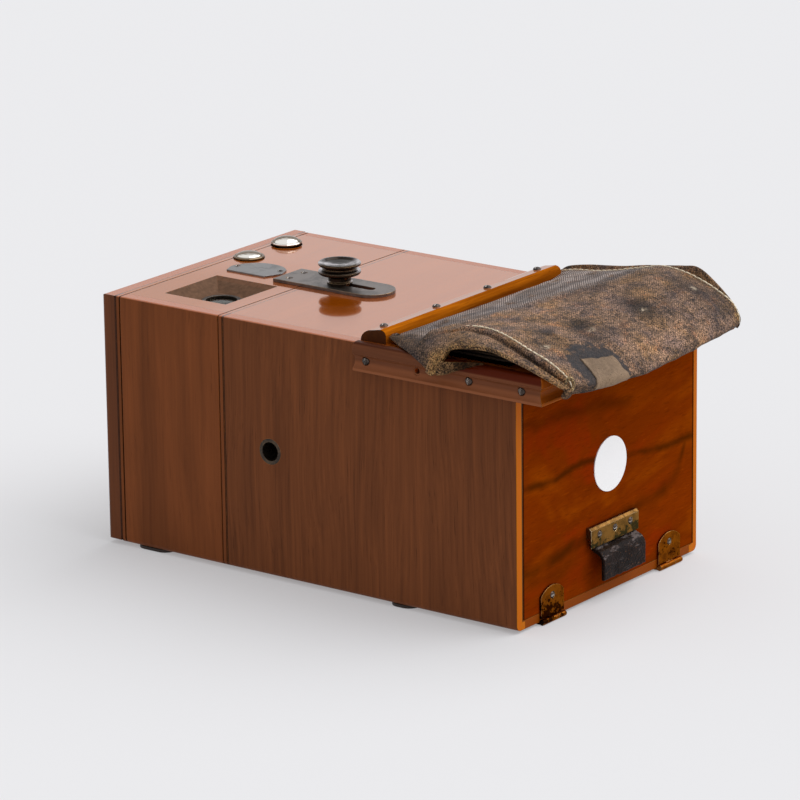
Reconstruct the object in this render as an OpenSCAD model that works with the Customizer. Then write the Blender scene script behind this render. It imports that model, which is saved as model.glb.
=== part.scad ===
// Bag-changing box camera of polished hardwood, in millimetres.
// The lens looks along -Y, the loading door faces +Y and the camera stands on z = 0.
// The front section slides out of the rear section for focusing and is clamped by a knob on top.

/* [Box] */
// From a plate's short edge to the outside of the box
side_room = 12.7; // [12.4:0.1:16]
// From a plate's long edge to the outside of the box
height_room = 12.7; // [12:0.1:16]
// Thickness of the side walls, top and bottom
wall_t = 6.5; // [5.5:0.1:8]
// Thickness of the hinged front flap
flap_t = 8.8; // [6:0.1:12]
// Length of the front section behind the flap
front_len = 67.3; // [64:0.1:75]
// Length of the rear section
rear_len = 173.7; // [170:0.1:185]
// Height of the feet
foot_h = 1.5; // [1.4:0.1:4]
// Width of a foot
foot_w = 12; // [8:0.5:16]
// Length of a foot of the rear section
rear_foot_len = 15; // [13:0.5:30]
// Distance of the rear feet ahead of the rear face
rear_foot_back = 62.4; // [40:0.2:100]
// Length of a foot of the front section
front_foot_len = 21; // [13:0.5:30]
// Distance of the front feet behind the flap
front_foot_ahead = 7.1; // [3:0.1:20]
// Rounding of the bottom long edges
bottom_edge_r = 3; // [1:0.1:4]
// Rounding of the top long edges
top_edge_r = 1.2; // [0.5:0.1:2]
// Rounding of the front edges of the flap
flap_edge_r = 2.6; // [1:0.1:4]
// Width of the bead beside each joint line
bead_w = 2.4; // [1.5:0.1:4]
// Width of the groove behind each bead
quirk_w = 0.7; // [0.4:0.1:1.2]
// Depth of the groove behind each bead
quirk_d = 0.8; // [0.4:0.1:1.5]

/* [Focusing] */
// Travel of the front section
focus_travel = 15; // [8:0.5:15.5]
// Length of the light-trap sleeve behind the joint
sleeve_len = 20; // [18:0.5:21]
// Thickness of the light-trap sleeve
sleeve_t = 3; // [2:0.1:4]
// Running clearance round the sleeve
sleeve_gap = 0.3; // [0.2:0.05:0.5]
// Distance of the clamp knob behind the joint
knob_back = 13.3; // [13:0.1:14]
// Width of the slotted focusing plate
focus_plate_w = 23; // [20:0.5:26]
// Thickness of the focusing plate
focus_plate_t = 1.7; // [1:0.1:2.5]
// Length of the focusing plate in front of the joint
focus_plate_front = 19.5; // [17:0.5:22]
// Diameter of the clamp knob
knob_d = 21.2; // [18:0.1:24]
// Height of the clamp knob above the plate
knob_h = 11; // [9:0.1:14]
// Diameter of the clamp stud
stud_d = 4; // [3:0.1:5]
// Clearance of the stud in its slot
slot_gap = 0.3; // [0.2:0.05:0.6]
// Length of the slot beyond the stud's last place
slot_spare = 4.2; // [0:0.1:6]
// Metal behind the slot
plate_nose = 10; // [6:0.5:14]

/* [Finder] */
// Width of the finder recess at the top
finder_w = 41; // [36:0.5:44]
// Length of the finder recess at the top
finder_l = 38.2; // [34:0.5:40]
// Depth of the splayed recess
finder_depth = 5.4; // [4:0.1:5.8]
// Distance of the recess centre from the middle plane
finder_x = 38; // [34:0.5:40]
// Distance of the recess centre in front of the joint
finder_ahead = 31.1; // [30:0.1:33]
// Outer diameter of the finder bezel
bezel_d = 19.6; // [17:0.1:21]
// Height kept for the finder under the top
finder_room = 27; // [24:0.5:30]

/* [Lens and shutter] */
// Diameter of the lens barrel
barrel_d = 26; // [22:0.5:30]
// Thickness of the lens panel
lens_panel_t = 6; // [4:0.5:8]
// Distance of the lens panel's front face behind the flap
lens_panel_back = 24.1; // [23:0.1:26]
// Clearance under the shutter disc
shutter_gap = 3.5; // [2:0.1:5]
// Height kept for the release lever over the shutter disc
lever_room = 7.5; // [7:0.1:9]
// Radius of the wheel of stops
stop_wheel_r = 31; // [29:0.5:32]
// Largest hole in the shutter and the stops
stop_d = 13; // [8:0.5:14]

/* [Buttons] */
// Diameter of a button's rim
button_d = 15.7; // [14:0.1:17]
// Travel of the shutter release
release_travel = 2.2; // [1.5:0.1:2.5]
// Height of the release's rim above the top at rest
release_raise = 0.9; // [0.7:0.1:1.5]
// Height of the dome of the release
release_dome = 3.5; // [2:0.1:4]
// Height of the dome of the catch button
catch_dome = 3; // [2:0.1:4]
// Travel of the flap catch button
catch_travel = 1.5; // [0.8:0.1:1.6]
// Distance of both buttons behind the flap
button_back = 8.4; // [8:0.1:9]

/* [Tripod bush] */
// Diameter of the hole in the tripod bush
tripod_hole_d = 9.52; // [6.35:0.01:9.6]
// Depth of the hole in the tripod bush
tripod_hole_len = 11; // [8:0.5:12]
// Diameter of the tripod bush
tripod_bush_d = 13; // [12.5:0.1:16]
// Distance of the tripod bush behind the joint
tripod_back = 27.9; // [27.5:0.1:32]

/* [Magazine] */
// Width of a glass plate
plate_w = 127; // [120:0.5:128]
// Height of a glass plate
plate_h = 101.6; // [95:0.2:102]
// Thickness of a glass plate
plate_t = 1.5; // [1:0.1:1.8]
// Thickness of a plate sheath
sheath_t = 3; // [2.6:0.1:3.1]
// Number of sheaths in the magazine
sheath_count = 12; // [1:1:12]
// Clear depth of the magazine
magazine_depth = 58; // [57:0.5:60]
// Thickness of the frame in front of the plates
exposure_frame_t = 6; // [4:0.5:8]

/* [Rear door] */
// Thickness of the door
door_t = 8; // [6:0.5:9]
// Width of the lip beside the door
door_lip = 5; // [4:0.1:5.2]
// Height of the lip under the door
door_bottom_lip = 4.3; // [3.5:0.1:5]
// Gap round the door
door_gap = 0.25; // [0.15:0.05:0.4]
// Distance of the door's top edge below the top of the box
door_top_drop = 16.7; // [14:0.1:20]
// Width of a hinge
hinge_w = 18.6; // [15:0.1:22]
// Height of a hinge's face leaf above the bottom of the box
hinge_leaf_h = 16.4; // [12:0.1:18]
// Distance of each hinge from the middle plane
hinge_x = 49.7; // [40:0.1:53]
// Thickness of a hinge leaf
hinge_leaf_t = 1.2; // [0.8:0.1:1.3]
// Diameter of the label disc
label_d = 27; // [20:0.5:32]
// Width of the brass plate over the leather tab
tab_plate_w = 40; // [34:0.5:44]
// Height of the brass plate over the leather tab
tab_plate_h = 10; // [8:0.5:12]

/* [Bag frame] */
// Depth of the side mouldings
moulding_t = 5; // [4:0.1:6]
// Height of the side mouldings
moulding_h = 13.7; // [12:0.1:15]
// Distance of the mouldings' bottom edge below the top of the box
moulding_drop = 12.5; // [11:0.1:13]
// Overhang of the frame behind the box
frame_overhang = 18.1; // [14:0.1:22]
// Distance of the front bar's front edge ahead of the box's rear face
frame_len = 92.9; // [88:0.1:96]
// Width of the front bar
front_bar_w = 15; // [13:0.1:17]
// Height of the front bar
front_bar_h = 6.8; // [5:0.1:8]
// Distance of the last side screw behind the box's rear face
side_screw_back = 5.4; // [4.5:0.1:9]
// Distance between the screws of the front bar
front_screw_step = 42; // [36:0.5:44]
// Diameter of a screw head
screw_head_d = 4.2; // [3:0.1:5]
// Height of the folded layers of the bag
bag_layers = 6; // [3:0.5:9]
// Height of the bag's crest above its layers
bag_rise = 7; // [4:0.5:12]
// Reach of the bag's folds behind the frame
bag_reach = 10.5; // [6:0.5:12]
// Drop of the bag's folds behind the frame
bag_hang = 11; // [6:0.5:14]

/* [Hidden] */
$fn = 48;

// The box is made round its plates
body_w = plate_w + 2 * side_room;
body_h = plate_h + 2 * height_room;
z_floor = foot_h;
z_top = foot_h + body_h;
box_len = flap_t + front_len + rear_len;
y_front = -box_len / 2;
y_flap = y_front + flap_t;
y_joint = y_flap + front_len;
y_rear = y_joint + rear_len;
half_w = body_w / 2;
in_x = half_w - wall_t;
z_in_low = z_floor + wall_t;
z_in_high = z_top - wall_t;
axis_z = z_floor + body_h / 2;
eps = 0.01;
fit_gap = 0.05;
touch_gap = 0.3;
foot_inset = 1.5;

// Shutter and lens places
lens_panel_y = y_flap + lens_panel_back;
shelf_t = 3;
shelf_z = z_in_high - finder_room - shelf_t;
back_panel_t = 4;
sleeve_in = 6;
sleeve_y = y_joint - sleeve_in;
sleeve_end_y = y_joint + min(sleeve_len, tripod_back - tripod_bush_d / 2 - touch_gap);
shutter_plane = y_flap + 7.4;
shutter_t = 2;
stop_plane = y_flap + 10.9;
stop_t = 1;
barrel_front = y_flap + 12.6;
barrel_back = lens_panel_y + lens_panel_t + 10;
shutter_r = (shelf_z - z_in_low - lever_room - shutter_gap) / 2;
shutter_pivot = [-0.4658 * shutter_r, z_in_low + shutter_gap + shutter_r];
stop_pivot = [19.5, axis_z - 12.5];
lever_pivot = [-36, shelf_z - 3.2];
pivot_r = 2;
lever_pin_r = 1.5;
lever_t = 2;
lever_w = 3.2;
lever_boss = 2.5;
catch_x = -19.1;
release_x = -49.9;
button_y = y_flap + button_back;
stem_r = 2.5;
skirt_r = button_d / 2 - 1.3;
tube_wall = 0.6;
counterbore_r = button_d / 2 + 0.25;
counterbore_d = max(catch_travel, release_travel - release_raise) + 0.4;
release_rim_z = z_top + release_raise;
catch_rim_z = z_top + 0.1;
lever_end_z = lever_pivot[1] + 4.4;

// Finder places
finder_y = y_joint - finder_ahead;
finder_floor_z = z_top - finder_depth;
finder_floor_w = bezel_d + 1.4;
finder_case_w = 30;
finder_case_wall = 1.5;
finder_lens_r = 0.297 * finder_room;

// Focusing plate and clamp places
knob_y = y_joint + knob_back;
slot_w = stud_d + 2 * slot_gap;
slot_len = focus_travel + slot_spare;
plate_tip_y = knob_y + slot_len + slot_w / 2 + plate_nose;
plate_front_y = y_joint - focus_plate_front;
clamp_bush_r = 5;
clamp_bush_len = wall_t - 0.5;
stud_len = clamp_bush_len - 0.4;
focus_screw_y = plate_front_y + 6;

// Tripod bush place
tripod_y = y_joint + tripod_back;
tripod_end = 1.5;

// Magazine places
mag_y = y_rear - door_t - magazine_depth;
sheath_pitch = sheath_t + 0.2;
sheath_w = plate_w + 4;
sheath_h = plate_h + 3.4;
sheath_z = axis_z - sheath_h / 2;
sheath_skin = 0.6;
sheath_lip = 2.5;
stack_end = mag_y + 0.3 + sheath_count * sheath_pitch;
guide_t = in_x - sheath_w / 2 - 0.25;
pressure_board_t = 5;
pressure_board_w = 110;
pressure_board_h = 90;
spring_w = 12;
spring_t = 0.8;
spring_span = 80;
spring_place = 25;

// Door and hinges
fittings_x = -1;
door_z_low = z_floor + door_bottom_lip + door_gap;
door_z_high = z_top - door_top_drop;
transom_gap = 0.7;
far_lip = door_lip + 2 * fittings_x;
hinge_pin_r = 0.7;
hinge_barrel_r = 1.4;
hinge_axis_out = 1.5;
hinge_axis_z = z_floor - 0.05;
knuckle_l = hinge_w / 3;
knuckle_gap = 0.2;
hinge_under_l = 22;
flap_lift = 1.2;
label_t = 0.4;
tab_plate_t = 3;
tab_w = 37;
tab_x = fittings_x - 1.3;
tab_t = 2;
tab_plate_z = z_floor + 26.2;
tab_out = 8;
tab_low = z_floor + 10;

leaf_screw_d = 3.6;
leaf_screw_len = 5;
tab_screw_len = 7;
leaf_screw_drop = 5;
plate_screw_d = 3.4;
plate_screw_len = 5;
cover_screw_d = 3;
cover_screw_len = 4;

// Bag frame places
frame_y = y_rear - frame_len;
frame_z = z_top - moulding_drop;
frame_top = frame_z + moulding_h;
frame_rear_y = y_rear + frame_overhang;
side_bar_front = frame_y + 1.8;
front_bar_x = half_w - 4;
side_screw_z = frame_z + 0.37 * moulding_h;
side_screw_y0 = side_bar_front + 6.5;
side_screw_step = (y_rear + side_screw_back - side_screw_y0) / 3;
front_screw_y = frame_y + 7;
front_screw_z = z_top + front_bar_h - 0.9;
shank_r = 1.4;
screw_len = 9;
bag_front = frame_y + front_bar_w + touch_gap;

// A box between two corners
module block(x0, x1, y0, y1, z0, z1) {
    translate([x0, y0, z0]) cube([x1 - x0, y1 - y0, z1 - z0]);
}

// A cylinder along Y between two places
module y_rod(r, y0, y1) {
    translate([0, y0, 0]) rotate([-90, 0, 0]) cylinder(r = r, h = y1 - y0);
}

// A cylinder along X between two places
module x_rod(r, x0, x1) {
    translate([x0, 0, 0]) rotate([0, 90, 0]) cylinder(r = r, h = x1 - x0);
}

// What a round edge of radius r takes off a square corner at the origin
module corner_cut(r) {
    difference() {
        translate([-eps, -eps]) square(r + eps);
        translate([r, r]) circle(r);
    }
}

// A flat bar between two points of a plane
module link(a, b, w) {
    d = b - a;
    translate(a) rotate(atan2(d[1], d[0])) translate([0, -w / 2]) square([norm(d), w]);
}

// A domed wood screw with its head's seat on z = 0
module screw(d, len) {
    head_h = 0.32 * d;
    difference() {
        union() {
            rotate_extrude() polygon(concat(
                [[0, 0], [d / 2, 0]],
                [for (a = [20:20:80]) [d / 2 * cos(a), head_h * sin(a)]],
                [[0, head_h]]));
            translate([0, 0, -len]) cylinder(r = shank_r, h = len + eps);
        }
        translate([-d, -0.25, head_h - 0.5]) cube([2 * d, 0.5, 1]);
    }
}

// The hole that such a screw needs
module screw_hole(d, len) {
    cylinder(r = d / 2 + fit_gap, h = 3);
    translate([0, 0, -len - fit_gap]) cylinder(r = shank_r + fit_gap, h = len + 1);
}

// Section of a side wall: the outer face on x = 0, the bottom on y = 0
module wall_section() {
    difference() {
        square([wall_t, body_h]);
        corner_cut(bottom_edge_r);
        translate([0, body_h]) mirror([0, 1]) corner_cut(top_edge_r);
    }
}

// A side wall on the near side between two places
module side_wall(y0, y1) {
    translate([half_w, y1, z_floor]) rotate([90, 0, 0]) linear_extrude(y1 - y0)
        mirror([1, 0]) wall_section();
}

// The grooves that set off the beads at both ends of the front section
module quirks() {
    for (y = [y_flap + bead_w, y_joint - bead_w - quirk_w]) difference() {
        block(-half_w - 1, half_w + 1, y, y + quirk_w, z_floor - 1, z_top + 1);
        block(-half_w + quirk_d, half_w - quirk_d, y - 1, y + quirk_w + 1,
            z_floor - 2, z_top - quirk_d);
    }
}

// Places of the screws in the bag frame: the side mouldings, then the front bar
module at_side_screws(first, last) {
    for (i = [first:last]) translate([half_w + moulding_t - 2.1, side_screw_y0 + i * side_screw_step,
        side_screw_z]) rotate([0, 90, 0]) children();
}
module at_front_screws() {
    for (i = [-1.5:1.5]) translate([i * front_screw_step, front_screw_y, front_screw_z])
        children();
}

// Rear section
module rear_near_side() {
    color("sienna") difference() {
        side_wall(y_joint, y_rear);
        block(in_x - 1, half_w - door_lip, y_rear - door_t, y_rear + 1,
            z_floor + door_bottom_lip, z_top + 1);
        translate([0, tripod_y, axis_z]) x_rod(tripod_bush_d / 2, in_x - 1, half_w + 1);
        at_side_screws(0, 2) screw_hole(screw_head_d, screw_len - 1);
    }
}
module rear_far_side() {
    color("sienna") mirror([1, 0, 0]) difference() {
        side_wall(y_joint, y_rear);
        block(in_x - 1, half_w - far_lip, y_rear - door_t, y_rear + 1,
            z_floor + door_bottom_lip, z_top + 1);
        at_side_screws(0, 2) screw_hole(screw_head_d, screw_len - 1);
    }
}
module rear_top() {
    color("sienna") difference() {
        block(-in_x, in_x, y_joint, mag_y, z_in_high, z_top);
        translate([0, knob_y, z_top - clamp_bush_len]) cylinder(r = clamp_bush_r, h = clamp_bush_len + 1);
        at_front_screws() screw_hole(screw_head_d, screw_len);
    }
}
module rear_bottom() {
    color("sienna") difference() {
        block(-in_x, in_x, y_joint, y_rear, z_floor, z_in_low);
        block(-half_w, half_w, y_rear - door_t, y_rear + 1, z_floor + door_bottom_lip, z_in_low + 1);
    }
}
module exposure_frame() {
    color("saddlebrown") difference() {
        block(-in_x, in_x, mag_y - exposure_frame_t, mag_y, z_in_low, z_in_high);
        block(-plate_w / 2 + 3, plate_w / 2 - 3, mag_y - exposure_frame_t - 1, mag_y + 1,
            axis_z - plate_h / 2 + 3, axis_z + plate_h / 2 - 3);
    }
}
module magazine_guides() {
    color("peru") for (side = [0, 1]) mirror([side, 0, 0]) {
        block(in_x - guide_t, in_x, mag_y, stack_end, z_in_low, z_in_high);
        block(30, 45, mag_y, stack_end, z_in_low, sheath_z - fit_gap);
    }
}
module door_transom() {
    color("sienna") block(far_lip - half_w, half_w - door_lip, y_rear - door_t, y_rear,
        door_z_high + transom_gap, z_top);
}
module tripod_bush() {
    color("darkgoldenrod") translate([0, tripod_y, axis_z]) difference() {
        x_rod(tripod_bush_d / 2, half_w - tripod_hole_len - tripod_end, half_w);
        x_rod(tripod_hole_d / 2, half_w - tripod_hole_len, half_w + 1);
    }
}
module clamp_bush() {
    color("darkgoldenrod") translate([0, knob_y, z_top - clamp_bush_len]) difference() {
        cylinder(r = clamp_bush_r, h = clamp_bush_len);
        translate([0, 0, 0.2]) cylinder(r = stud_d / 2 + fit_gap, h = clamp_bush_len);
    }
}

// A foot with round ends along Y
module foot(y0, y1) {
    w = foot_w;
    translate([half_w - foot_inset - w, 0, 0]) linear_extrude(foot_h) {
        translate([0, y0 + w / 2]) square([w, y1 - y0 - w]);
        for (y = [y0 + w / 2, y1 - w / 2]) translate([w / 2, y]) circle(d = w);
    }
}
module rear_feet() {
    back = y_rear - rear_foot_back;
    color("dimgray") for (side = [0, 1]) mirror([side, 0, 0]) foot(back - rear_foot_len, back);
}

// Magazine
module sheath() {
    difference() {
        translate([-sheath_w / 2, 0, sheath_z]) cube([sheath_w, sheath_t, sheath_h]);
        translate([-plate_w / 2 - 1, sheath_skin, sheath_z + 0.7])
            cube([plate_w + 2, sheath_t - 2 * sheath_skin, sheath_h]);
        translate([-plate_w / 2 + sheath_lip, -1, sheath_z + 0.7 + sheath_lip])
            cube([plate_w - 2 * sheath_lip, sheath_skin + 1 + eps, sheath_h]);
    }
}
module plate_sheaths() {
    color("dimgray") for (i = [0:sheath_count - 1])
        translate([0, mag_y + 0.3 + i * sheath_pitch, 0]) sheath();
}
module glass_plates() {
    color("powderblue") for (i = [0:sheath_count - 1])
        translate([-plate_w / 2, mag_y + 0.3 + i * sheath_pitch + sheath_skin + 0.1, sheath_z + 0.8])
            cube([plate_w, plate_t, plate_h]);
}

// Bag frame
module moulding_section(depth) {
    difference() {
        translate([moulding_t - depth, 0]) square([depth, moulding_h]);
        translate([moulding_t + 1.9, 0.35 * moulding_h]) circle(4);
        translate([moulding_t, moulding_h]) mirror([0, 1]) mirror([1, 0]) corner_cut(2.6);
    }
}
module side_moulding() {
    intersection() {
        translate([half_w, frame_rear_y, frame_z]) rotate([90, 0, 0])
            linear_extrude(frame_rear_y - side_bar_front) moulding_section(moulding_t);
        translate([0, 0, frame_z - 1]) linear_extrude(moulding_h + 2) polygon([
            [half_w, side_bar_front], [half_w + moulding_t, side_bar_front],
            [half_w + moulding_t, frame_rear_y], [half_w, frame_rear_y - moulding_t]]);
    }
}
module bag_frame_near_side() {
    color("chocolate") difference() {
        side_moulding();
        at_side_screws(0, 3) screw_hole(screw_head_d, screw_len);
    }
}
module bag_frame_far_side() {
    color("chocolate") mirror([1, 0, 0]) difference() {
        side_moulding();
        at_side_screws(0, 3) screw_hole(screw_head_d, screw_len);
    }
}
module bag_frame_rear() {
    color("chocolate") difference() {
        intersection() {
            translate([-half_w - moulding_t, frame_rear_y - moulding_t, frame_z]) rotate([90, 0, 90])
                linear_extrude(2 * (half_w + moulding_t)) moulding_section(frame_overhang);
            translate([0, 0, frame_z - 1]) linear_extrude(moulding_h + 2) polygon([
                [-half_w, y_rear], [half_w, y_rear], [half_w, frame_rear_y - moulding_t],
                [half_w + moulding_t, frame_rear_y], [-half_w - moulding_t, frame_rear_y],
                [-half_w, frame_rear_y - moulding_t]]);
        }
        at_side_screws(3, 3) screw_hole(screw_head_d, screw_len - 1);
        mirror([1, 0, 0]) at_side_screws(3, 3) screw_hole(screw_head_d, screw_len - 1);
    }
}
module bag_frame_front() {
    color("chocolate") difference() {
        translate([-front_bar_x, frame_y, z_top]) rotate([90, 0, 90])
            linear_extrude(2 * front_bar_x) polygon(concat(
                [for (a = [0:15:75]) [front_bar_w / 2 * (1 - cos(a)), (front_bar_h - 0.9) * sin(a)]],
                [[front_bar_w / 2, front_bar_h - 0.8], [front_bar_w - 3.4, front_bar_h],
                 [front_bar_w - 2, front_bar_h - 0.2], [front_bar_w - 0.7, front_bar_h - 1],
                 [front_bar_w, front_bar_h - 2.4], [front_bar_w, 0]]));
        at_front_screws() screw_hole(screw_head_d, screw_len);
    }
}
module bag_frame_screws() {
    color("dimgray") {
        at_front_screws() screw(screw_head_d, screw_len);
        for (i = [0, 2, 3]) at_side_screws(i, i) screw(screw_head_d, screw_len - 1);
        mirror([1, 0, 0]) at_side_screws(0, 3) screw(screw_head_d, screw_len - 1);
    }
}

// The bag lies folded on its frame: sections across X, each a ring in Y and Z
bag_half = half_w + 2;
bag_low = frame_top + touch_gap;
bag_back = frame_rear_y + touch_gap;
bag_stations = [-1, -0.94, -0.8, -0.55, -0.25, 0, 0.25, 0.55, 0.8, 0.94, 1];
function bag_swell(s) = sqrt(max(0, 1 - pow(abs(s), 3.2)));
function bag_ring(s) = let (k = 0.35 + 0.65 * bag_swell(s), up = bag_rise * k, h = bag_layers,
        l = bag_back - bag_front, o = bag_reach, d = bag_hang) [
    [bag_front, bag_low], [bag_front, bag_low + 0.43 * h],
    [bag_front + 0.125 * l, bag_low + 0.83 * h + 0.35 * up],
    [bag_front + 0.28 * l, bag_low + 0.93 * h + 0.75 * up],
    [bag_front + 0.44 * l, bag_low + h + up], [bag_front + 0.595 * l, bag_low + h + up],
    [bag_front + 0.75 * l, bag_low + 0.9 * h + 0.85 * up],
    [bag_front + 0.905 * l, bag_low + 0.73 * h + 0.6 * up],
    [bag_back + 0.29 * o, bag_low + 0.67 * h * k], [bag_back + 0.76 * o * k, bag_low - 0.14 * d],
    [bag_back + o * k, bag_low - 0.55 * d], [bag_back + 0.9 * o * k, bag_low - 0.86 * d],
    [bag_back + 0.48 * o * k, bag_low - d], [bag_back + 0.11 * o, bag_low - 0.91 * d],
    [bag_back, bag_low - 0.73 * d], [bag_back, bag_low]];
module changing_bag() {
    rings = [for (s = bag_stations) [for (p = bag_ring(s)) [bag_half * s, p[0], p[1]]]];
    n = len(rings[0]);
    m = len(rings);
    color("dimgray") polyhedron(
        points = [for (r = rings) for (p = r) p],
        faces = concat(
            [[for (j = [0:n - 1]) j]],
            [[for (j = [n - 1:-1:0]) (m - 1) * n + j]],
            [for (i = [0:m - 2]) for (j = [0:n - 1]) let (k = (j + 1) % n)
                each [[i * n + j, (i + 1) * n + j, (i + 1) * n + k],
                      [i * n + j, (i + 1) * n + k, i * n + k]]]));
}

// Hinges: X is the pin's axis, the face leaf stands at -Y of it and the box lies beyond
module pin_bore() {
    x_rod(hinge_pin_r + fit_gap, -hinge_w, hinge_w);
}
module face_leaf() {
    arch = 4;
    arch_r = (hinge_w * hinge_w / 4 + arch * arch) / (2 * arch);
    low = hinge_barrel_r + 0.35;
    difference() {
        union() {
            translate([0, -hinge_axis_out + hinge_leaf_t, 0]) rotate([90, 0, 0])
                linear_extrude(hinge_leaf_t) {
                translate([-hinge_w / 2, low]) square([hinge_w, hinge_leaf_h - arch - low]);
                intersection() {
                    translate([0, hinge_leaf_h - arch_r]) circle(arch_r);
                    translate([-hinge_w / 2, hinge_leaf_h - arch - eps]) square([hinge_w, arch + 1]);
                }
                translate([-knuckle_l / 2 + knuckle_gap, 0])
                    square([knuckle_l - 2 * knuckle_gap, low + eps]);
            }
            x_rod(hinge_barrel_r, -knuckle_l / 2 + knuckle_gap, knuckle_l / 2 - knuckle_gap);
        }
        pin_bore();
        translate([0, -hinge_axis_out + hinge_leaf_t, hinge_leaf_h - leaf_screw_drop]) rotate([-90, 0, 0])
            screw_hole(leaf_screw_d, leaf_screw_len - 1);
    }
}
module base_leaf(l) {
    difference() {
        union() {
            translate([-hinge_w / 2, -l, foot_h - hinge_axis_z - hinge_leaf_t])
                cube([hinge_w, l, hinge_leaf_t]);
            for (s = [0, 1]) mirror([s, 0, 0]) x_rod(hinge_barrel_r, knuckle_l / 2, hinge_w / 2);
        }
        translate([-knuckle_l / 2, -hinge_barrel_r - knuckle_gap, -2 * hinge_barrel_r])
            cube([knuckle_l, 4, 4 * hinge_barrel_r]);
        pin_bore();
    }
}
module at_door_hinges() {
    for (s = [-1, 1]) translate([fittings_x + s * hinge_x, y_rear + hinge_axis_out, hinge_axis_z])
        children();
}
module at_flap_hinges() {
    for (s = [-1, 1]) translate([s * hinge_x, y_front - hinge_axis_out, hinge_axis_z])
        mirror([0, 1, 0]) children();
}
module hinge_pin() {
    x_rod(hinge_pin_r, -hinge_w / 2, hinge_w / 2);
}
module face_screw() {
    translate([0, -hinge_axis_out + hinge_leaf_t - 0.6, hinge_leaf_h - leaf_screw_drop]) rotate([-90, 0, 0])
        screw(leaf_screw_d, leaf_screw_len);
}
module face_screw_hole() {
    translate([0, -hinge_axis_out + hinge_leaf_t - 0.6, hinge_leaf_h - leaf_screw_drop]) rotate([-90, 0, 0])
        screw_hole(leaf_screw_d, leaf_screw_len);
}
module door_hinge_bases() {
    color("darkgoldenrod") at_door_hinges() base_leaf(hinge_under_l + hinge_axis_out);
}
module door_hinge_pins() {
    color("goldenrod") at_door_hinges() hinge_pin();
}
module door_hinge_leaves() {
    color("darkgoldenrod") at_door_hinges() difference() {
        face_leaf();
        face_screw_hole();
    }
}
module flap_hinge_bases() {
    color("darkgoldenrod") at_flap_hinges() base_leaf(flap_t + hinge_under_l + hinge_axis_out);
}
module flap_hinge_pins() {
    color("goldenrod") at_flap_hinges() hinge_pin();
}

// Rear door and what it carries
module at_tab_screws() {
    for (i = [-1:1]) translate([fittings_x + i * 13, y_rear + tab_plate_t - 0.5,
        tab_plate_z + tab_plate_h - 4.2]) rotate([-90, 0, 0]) children();
}
module rear_door() {
    color("firebrick") difference() {
        block(far_lip + door_gap - half_w, half_w - door_lip - door_gap, y_rear - door_t, y_rear,
            door_z_low, door_z_high);
        at_door_hinges() face_screw_hole();
        at_tab_screws() screw_hole(leaf_screw_d, tab_screw_len);
    }
}
module door_screws() {
    color("goldenrod") {
        at_door_hinges() face_screw();
        at_tab_screws() screw(leaf_screw_d, tab_screw_len);
    }
}
module tab_plate() {
    h = tab_plate_h;
    t = tab_plate_t;
    leather = tab_t - 0.3;
    color("darkgoldenrod") difference() {
        translate([fittings_x - tab_plate_w / 2, y_rear, tab_plate_z]) rotate([90, 0, 90])
            linear_extrude(tab_plate_w) polygon([[0, h], [0, 4.2], [leather + fit_gap, 4.2],
                [leather + fit_gap, 0], [t, 0], [t, h - 1.2], [t - 1.2, h]]);
        at_tab_screws() screw_hole(leaf_screw_d, tab_screw_len);
    }
}
module leather_tab() {
    o = tab_out;
    t = tab_t;
    drop = tab_low - tab_plate_z;
    color("saddlebrown") difference() {
        translate([tab_x - tab_w / 2, y_rear, tab_plate_z]) rotate([90, 0, 90])
            linear_extrude(tab_w) polygon([[0, 4], [0, -1.2], [0.6, -2.6], [o - t - 2.2, -4.4],
                [o - t - 0.7, -6.4], [o - t - 0.2, -9.5], [o - t, drop], [o, drop],
                [o - 0.1, -8.6], [o - 0.8, -5], [o - 2.4, -2.6], [o - 4.4, -1.2], [t, -0.4],
                [t - 0.3, 0], [t - 0.3, 4]]);
        at_tab_screws() screw_hole(leaf_screw_d, tab_screw_len);
    }
}
module label_disc() {
    color("ivory") translate([fittings_x, 0, axis_z]) y_rod(label_d / 2, y_rear, y_rear + label_t);
}
board_y = stack_end + touch_gap;
module pressure_board() {
    color("peru") block(-pressure_board_w / 2, pressure_board_w / 2, board_y,
        board_y + pressure_board_t, axis_z - pressure_board_h / 2, axis_z + pressure_board_h / 2);
}
spring_bow = y_rear - door_t - board_y - pressure_board_t - spring_t;
spring_r = (spring_span * spring_span / 4 + spring_bow * spring_bow) / (2 * spring_bow);
module pressure_springs() {
    half = asin(spring_span / 2 / spring_r);
    steps = 10;
    angles = [for (i = [0:steps]) -half + 2 * half * i / steps];
    inner = spring_r - spring_t;
    color("darkgray") for (z = [-spring_place, spring_place])
        translate([0, board_y + pressure_board_t + spring_r, axis_z + z - spring_w / 2])
            linear_extrude(spring_w) polygon(concat(
                [for (a = angles) [spring_r * sin(a), -spring_r * cos(a)]],
                [for (i = [steps:-1:0]) [inner * sin(angles[i]), -inner * cos(angles[i])]]));
}

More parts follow.
